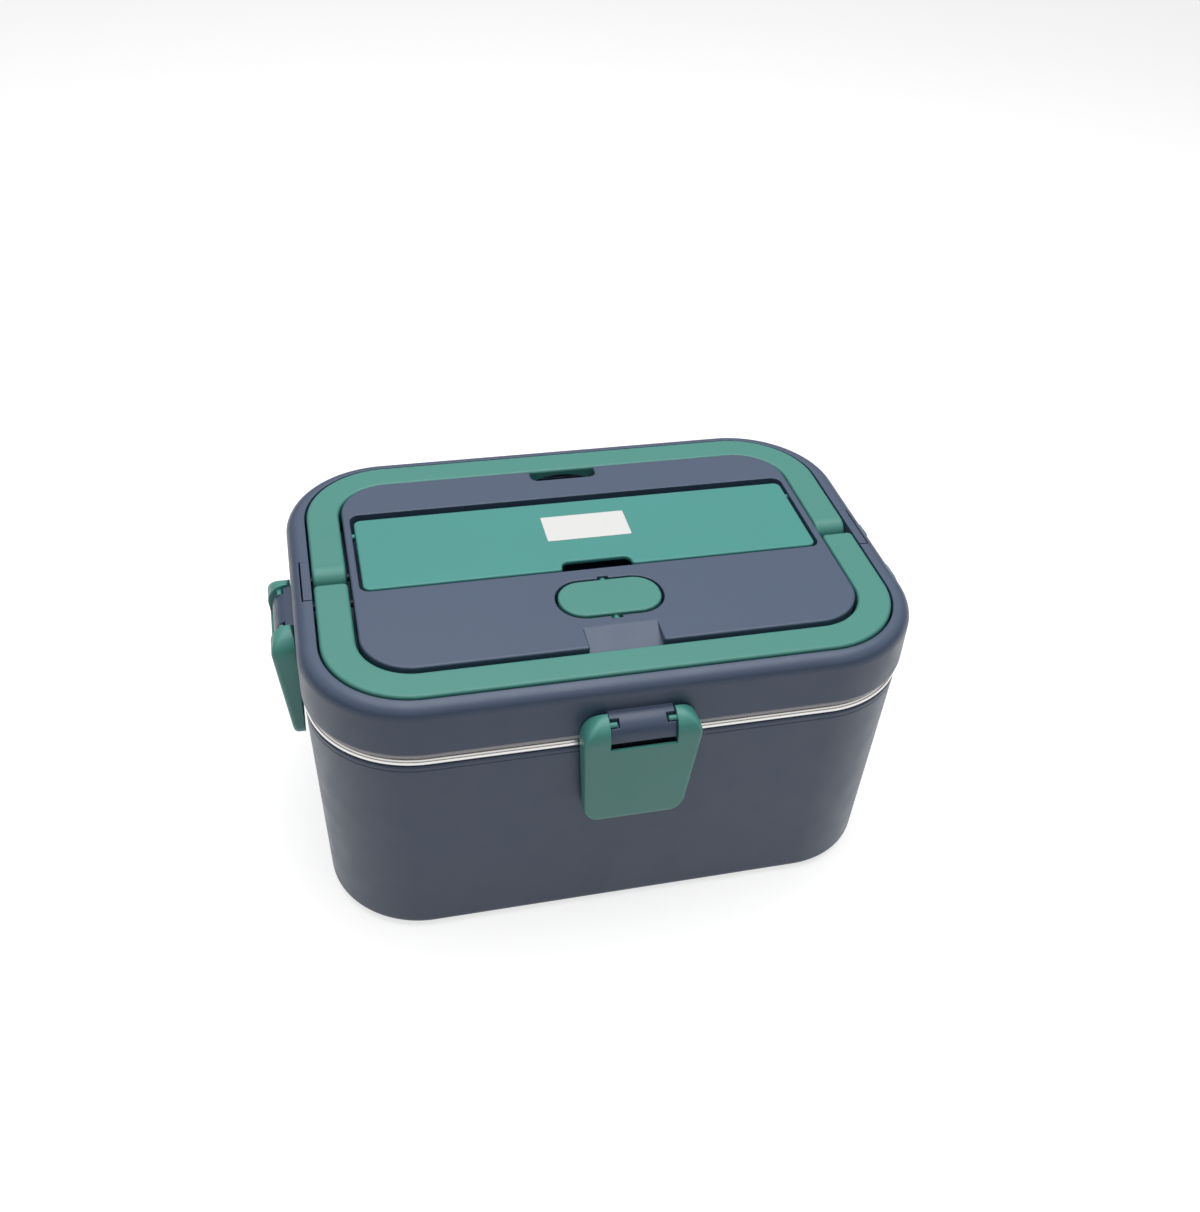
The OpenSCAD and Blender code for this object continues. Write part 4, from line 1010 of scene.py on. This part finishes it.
def back_depth(z):
    """Depth of a latch's inner edge: level up to the pivot, then an arc about it."""
    reach = PIVOT_OUT - LATCH_IN
    return PIVOT_OUT - np.where(z > PIVOT_Z, circle_rise(reach, z - PIVOT_Z), reach)


def latch_skin(z, wall, back):
    """Closed skin through level sections, one for each height z: each is as deep as the face, as wide
    as the front outline, and its two outer corners are quarter rounds."""
    depth, half = face_depth(z, wall), half_width(z, wall)
    corner = np.minimum(max(SIDE_ROUND - wall, 0.2), 0.96 * np.maximum(depth - back, 0))
    turn = np.linspace(0, math.pi / 2, 11)
    across = (half - corner)[:, None] + corner[:, None] * np.cos(turn)
    out = (depth - corner)[:, None] + corner[:, None] * np.sin(turn)
    across = np.concatenate([half[:, None], across, -across[:, ::-1], -half[:, None]], 1)
    out = np.concatenate([back[:, None], out, out[:, ::-1], back[:, None]], 1)
    rows = np.stack([across, out, np.broadcast_to(z[:, None], out.shape)], 2)
    made = Surface().grid(rows)
    made.cap(rows[0])
    made.cap(rows[-1])
    return made


def latch_heights():
    """Heights of the sections, closest together where the foot's and the ears' arcs begin."""
    bend = 1 - np.cos(np.linspace(0, math.pi / 2, 17))
    low = LATCH_LOW + 0.02 + FOOT_CORNER * bend
    high = LATCH_HIGH - 0.02 - EAR_CORNER * bend[::-1]
    return np.concatenate([low, np.linspace(low[-1], high[0], 9)[1:-1], high])


def latch_flap():
    """The flap of a latch: hollow, with a window between its ears for the lid's block."""
    sill = LID_BOTTOM - 1.25
    heights = latch_heights()
    shell = solid(latch_skin(heights, 0, back_depth(heights)), "flap")
    inside = np.linspace(LATCH_LOW + LATCH_WALL + 0.01, sill + 0.3, 40)
    hollow = solid(latch_skin(inside, LATCH_WALL, np.full(len(inside), -2.0)), "hollow")
    opening = solid(brick(-WINDOW_HALF, WINDOW_HALF, -10, 30, sill, sill + 30), "opening")
    return cut(shell, [("DIFFERENCE", hollow), ("DIFFERENCE", opening)])


def latch_pins_and_hook():
    """A pin in each ear, and the hook behind the face."""
    hook_low, hook_high = 78.0, 80.5
    made = Surface()
    for side in (-1, 1):
        ends = side * (WINDOW_HALF - 3), side * (WINDOW_HALF + 2)
        made.join(rod(ALONG_X, PIVOT_OUT, PIVOT_Z, 1.05, ends))
    root = float(face_depth(hook_low, 0)) - LATCH_WALL / 2
    return made.slab(box_outline(-CATCH_HALF, CATCH_HALF, LATCH_IN, root, 0.2), hook_high, hook_low,
                     0.3, 0.3)


def make_latches():
    """The same latch on all four sides. A side's own frame mirrors, so the faces are turned back."""
    whole = joined(latch_flap(), latch_pins_and_hook().mesh("pins_and_hook"))
    for side, name in enumerate(("front", "right", "back", "left")):
        data = whole.copy()
        data.transform(Matrix([row[:3] + [row[3] * MM] for row in at_side(side)] + [[0, 0, 0, 1]]))
        data.flip_normals()
        piece(f"{name}_latch_flap", data, painted_lit_latch_green, f"{name}_latch", [f"{name}_latch"])


make_shell()
make_well()
make_pot()
make_inner_lid()
make_gasket()
make_lid()
make_clips()
make_plate()
make_cover()
make_rocker()
make_front_handle()
make_back_handle()
make_latches()


# Camera, floor and light, in metres


def make_camera():
    """The photograph's camera, worked out from the outlines of lid, rim and foot."""
    place, lens, sensor = (-0.1071, -0.4047, 0.4263), 38.414, 36
    azimuth, elevation, roll = (math.radians(v) for v in (-15.482, 38.417, 3.555))
    forward = np.array([-math.sin(azimuth) * math.cos(elevation),
                        math.cos(azimuth) * math.cos(elevation), -math.sin(elevation)])
    level = np.array([math.cos(azimuth), math.sin(azimuth), 0])
    upright = np.cross(level, forward)
    right = math.cos(roll) * level + math.sin(roll) * upright
    up = math.cos(roll) * upright - math.sin(roll) * level
    data = bpy.data.cameras.new("camera")
    data.sensor_width, data.lens = sensor, lens
    data.clip_start, data.clip_end = 0.02, 20
    camera = bpy.data.objects.new("camera", data)
    bpy.context.scene.collection.objects.link(camera)
    matrix = np.eye(4)
    matrix[:3, 0], matrix[:3, 1], matrix[:3, 2] = right, up, -forward
    matrix[:3, 3] = place
    camera.matrix_world = Matrix(matrix.tolist())
    bpy.context.scene.camera = camera


FLOOR_GLOW = 0.72
WORLD_LIGHT = 0.2
BAND_TOP, BAND_FADE = 0.28, 0.5


def make_floor():
    """A wide pale floor. Where the camera sees it, its own glow lifts it to white, and the object's
    shadow stays."""
    half = 6.0
    data = bpy.data.meshes.new("floor")
    data.from_pydata([(-half, -half, 0), (half, -half, 0), (half, half, 0), (-half, half, 0)], [],
                     [(0, 1, 2, 3)])
    floor = bpy.data.objects.new("floor", data)
    bpy.context.scene.collection.objects.link(floor)
    made, tree, shader = new_material("pale_floor", (0.62, 0.62, 0.62), 0.9)
    shader.inputs["Specular IOR Level"].default_value = 0.0
    path = tree.nodes.new("ShaderNodeLightPath")
    glow = tree.nodes.new("ShaderNodeMath")
    glow.operation = "MULTIPLY"
    glow.inputs[1].default_value = FLOOR_GLOW
    shader.inputs["Emission Color"].default_value = (1, 1, 1, 1)
    tree.links.new(seen(tree, path), glow.inputs[0])
    tree.links.new(glow.outputs[0], shader.inputs["Emission Strength"])
    data.materials.append(made)


def seen(tree, path):
    """1 for rays from the camera and for those that gloss or glass sends on."""
    total = path.outputs["Is Camera Ray"]
    for name in ("Is Glossy Ray", "Is Transmission Ray"):
        add = tree.nodes.new("ShaderNodeMath")
        add.operation = "MAXIMUM"
        tree.links.new(total, add.inputs[0])
        tree.links.new(path.outputs[name], add.inputs[1])
        total = add.outputs[0]
    return total


def make_world():
    """A soft grey light on the object, at full strength where it is seen. It is white above, and a low
    dark band all round, as of a room's far walls, gives the rolled steel its dark line."""
    world = bpy.data.worlds.new("studio")
    world.use_nodes = True
    bpy.context.scene.world = world
    tree = world.node_tree
    backdrop = tree.nodes["Background"]
    way = tree.nodes.new("ShaderNodeTexCoord")
    parts = tree.nodes.new("ShaderNodeSeparateXYZ")
    tree.links.new(way.outputs["Generated"], parts.inputs[0])
    rise = between(tree, parts.outputs["Z"], 0, 1, BAND_TOP, BAND_FADE)
    tree.links.new(blend(tree, rise, (0.2, 0.17, 0.15), (1, 1, 1)), backdrop.inputs["Color"])
    path = tree.nodes.new("ShaderNodeLightPath")
    level = between(tree, seen(tree, path), WORLD_LIGHT, 1.0, 0, 1)
    tree.links.new(level, backdrop.inputs["Strength"])


def make_lamp(name, place, size, power, target=(0, 0, 0.08)):
    """A square soft light that faces a point."""
    data = bpy.data.lights.new(name, "AREA")
    data.size = size
    data.energy = power
    lamp = bpy.data.objects.new(name, data)
    bpy.context.scene.collection.objects.link(lamp)
    away = np.array(place) - np.array(target)
    away /= np.linalg.norm(away)
    lamp.rotation_mode = "QUATERNION"
    lamp.rotation_quaternion = Vector(away).to_track_quat("Z", "Y")
    lamp.location = place
    lamp.visible_camera = False


make_camera()
make_floor()
make_world()
make_lamp("overhead", (0.05, 0.1, 1.1), 1.1, 10.5)
bpy.context.scene.view_settings.view_transform = "Standard"
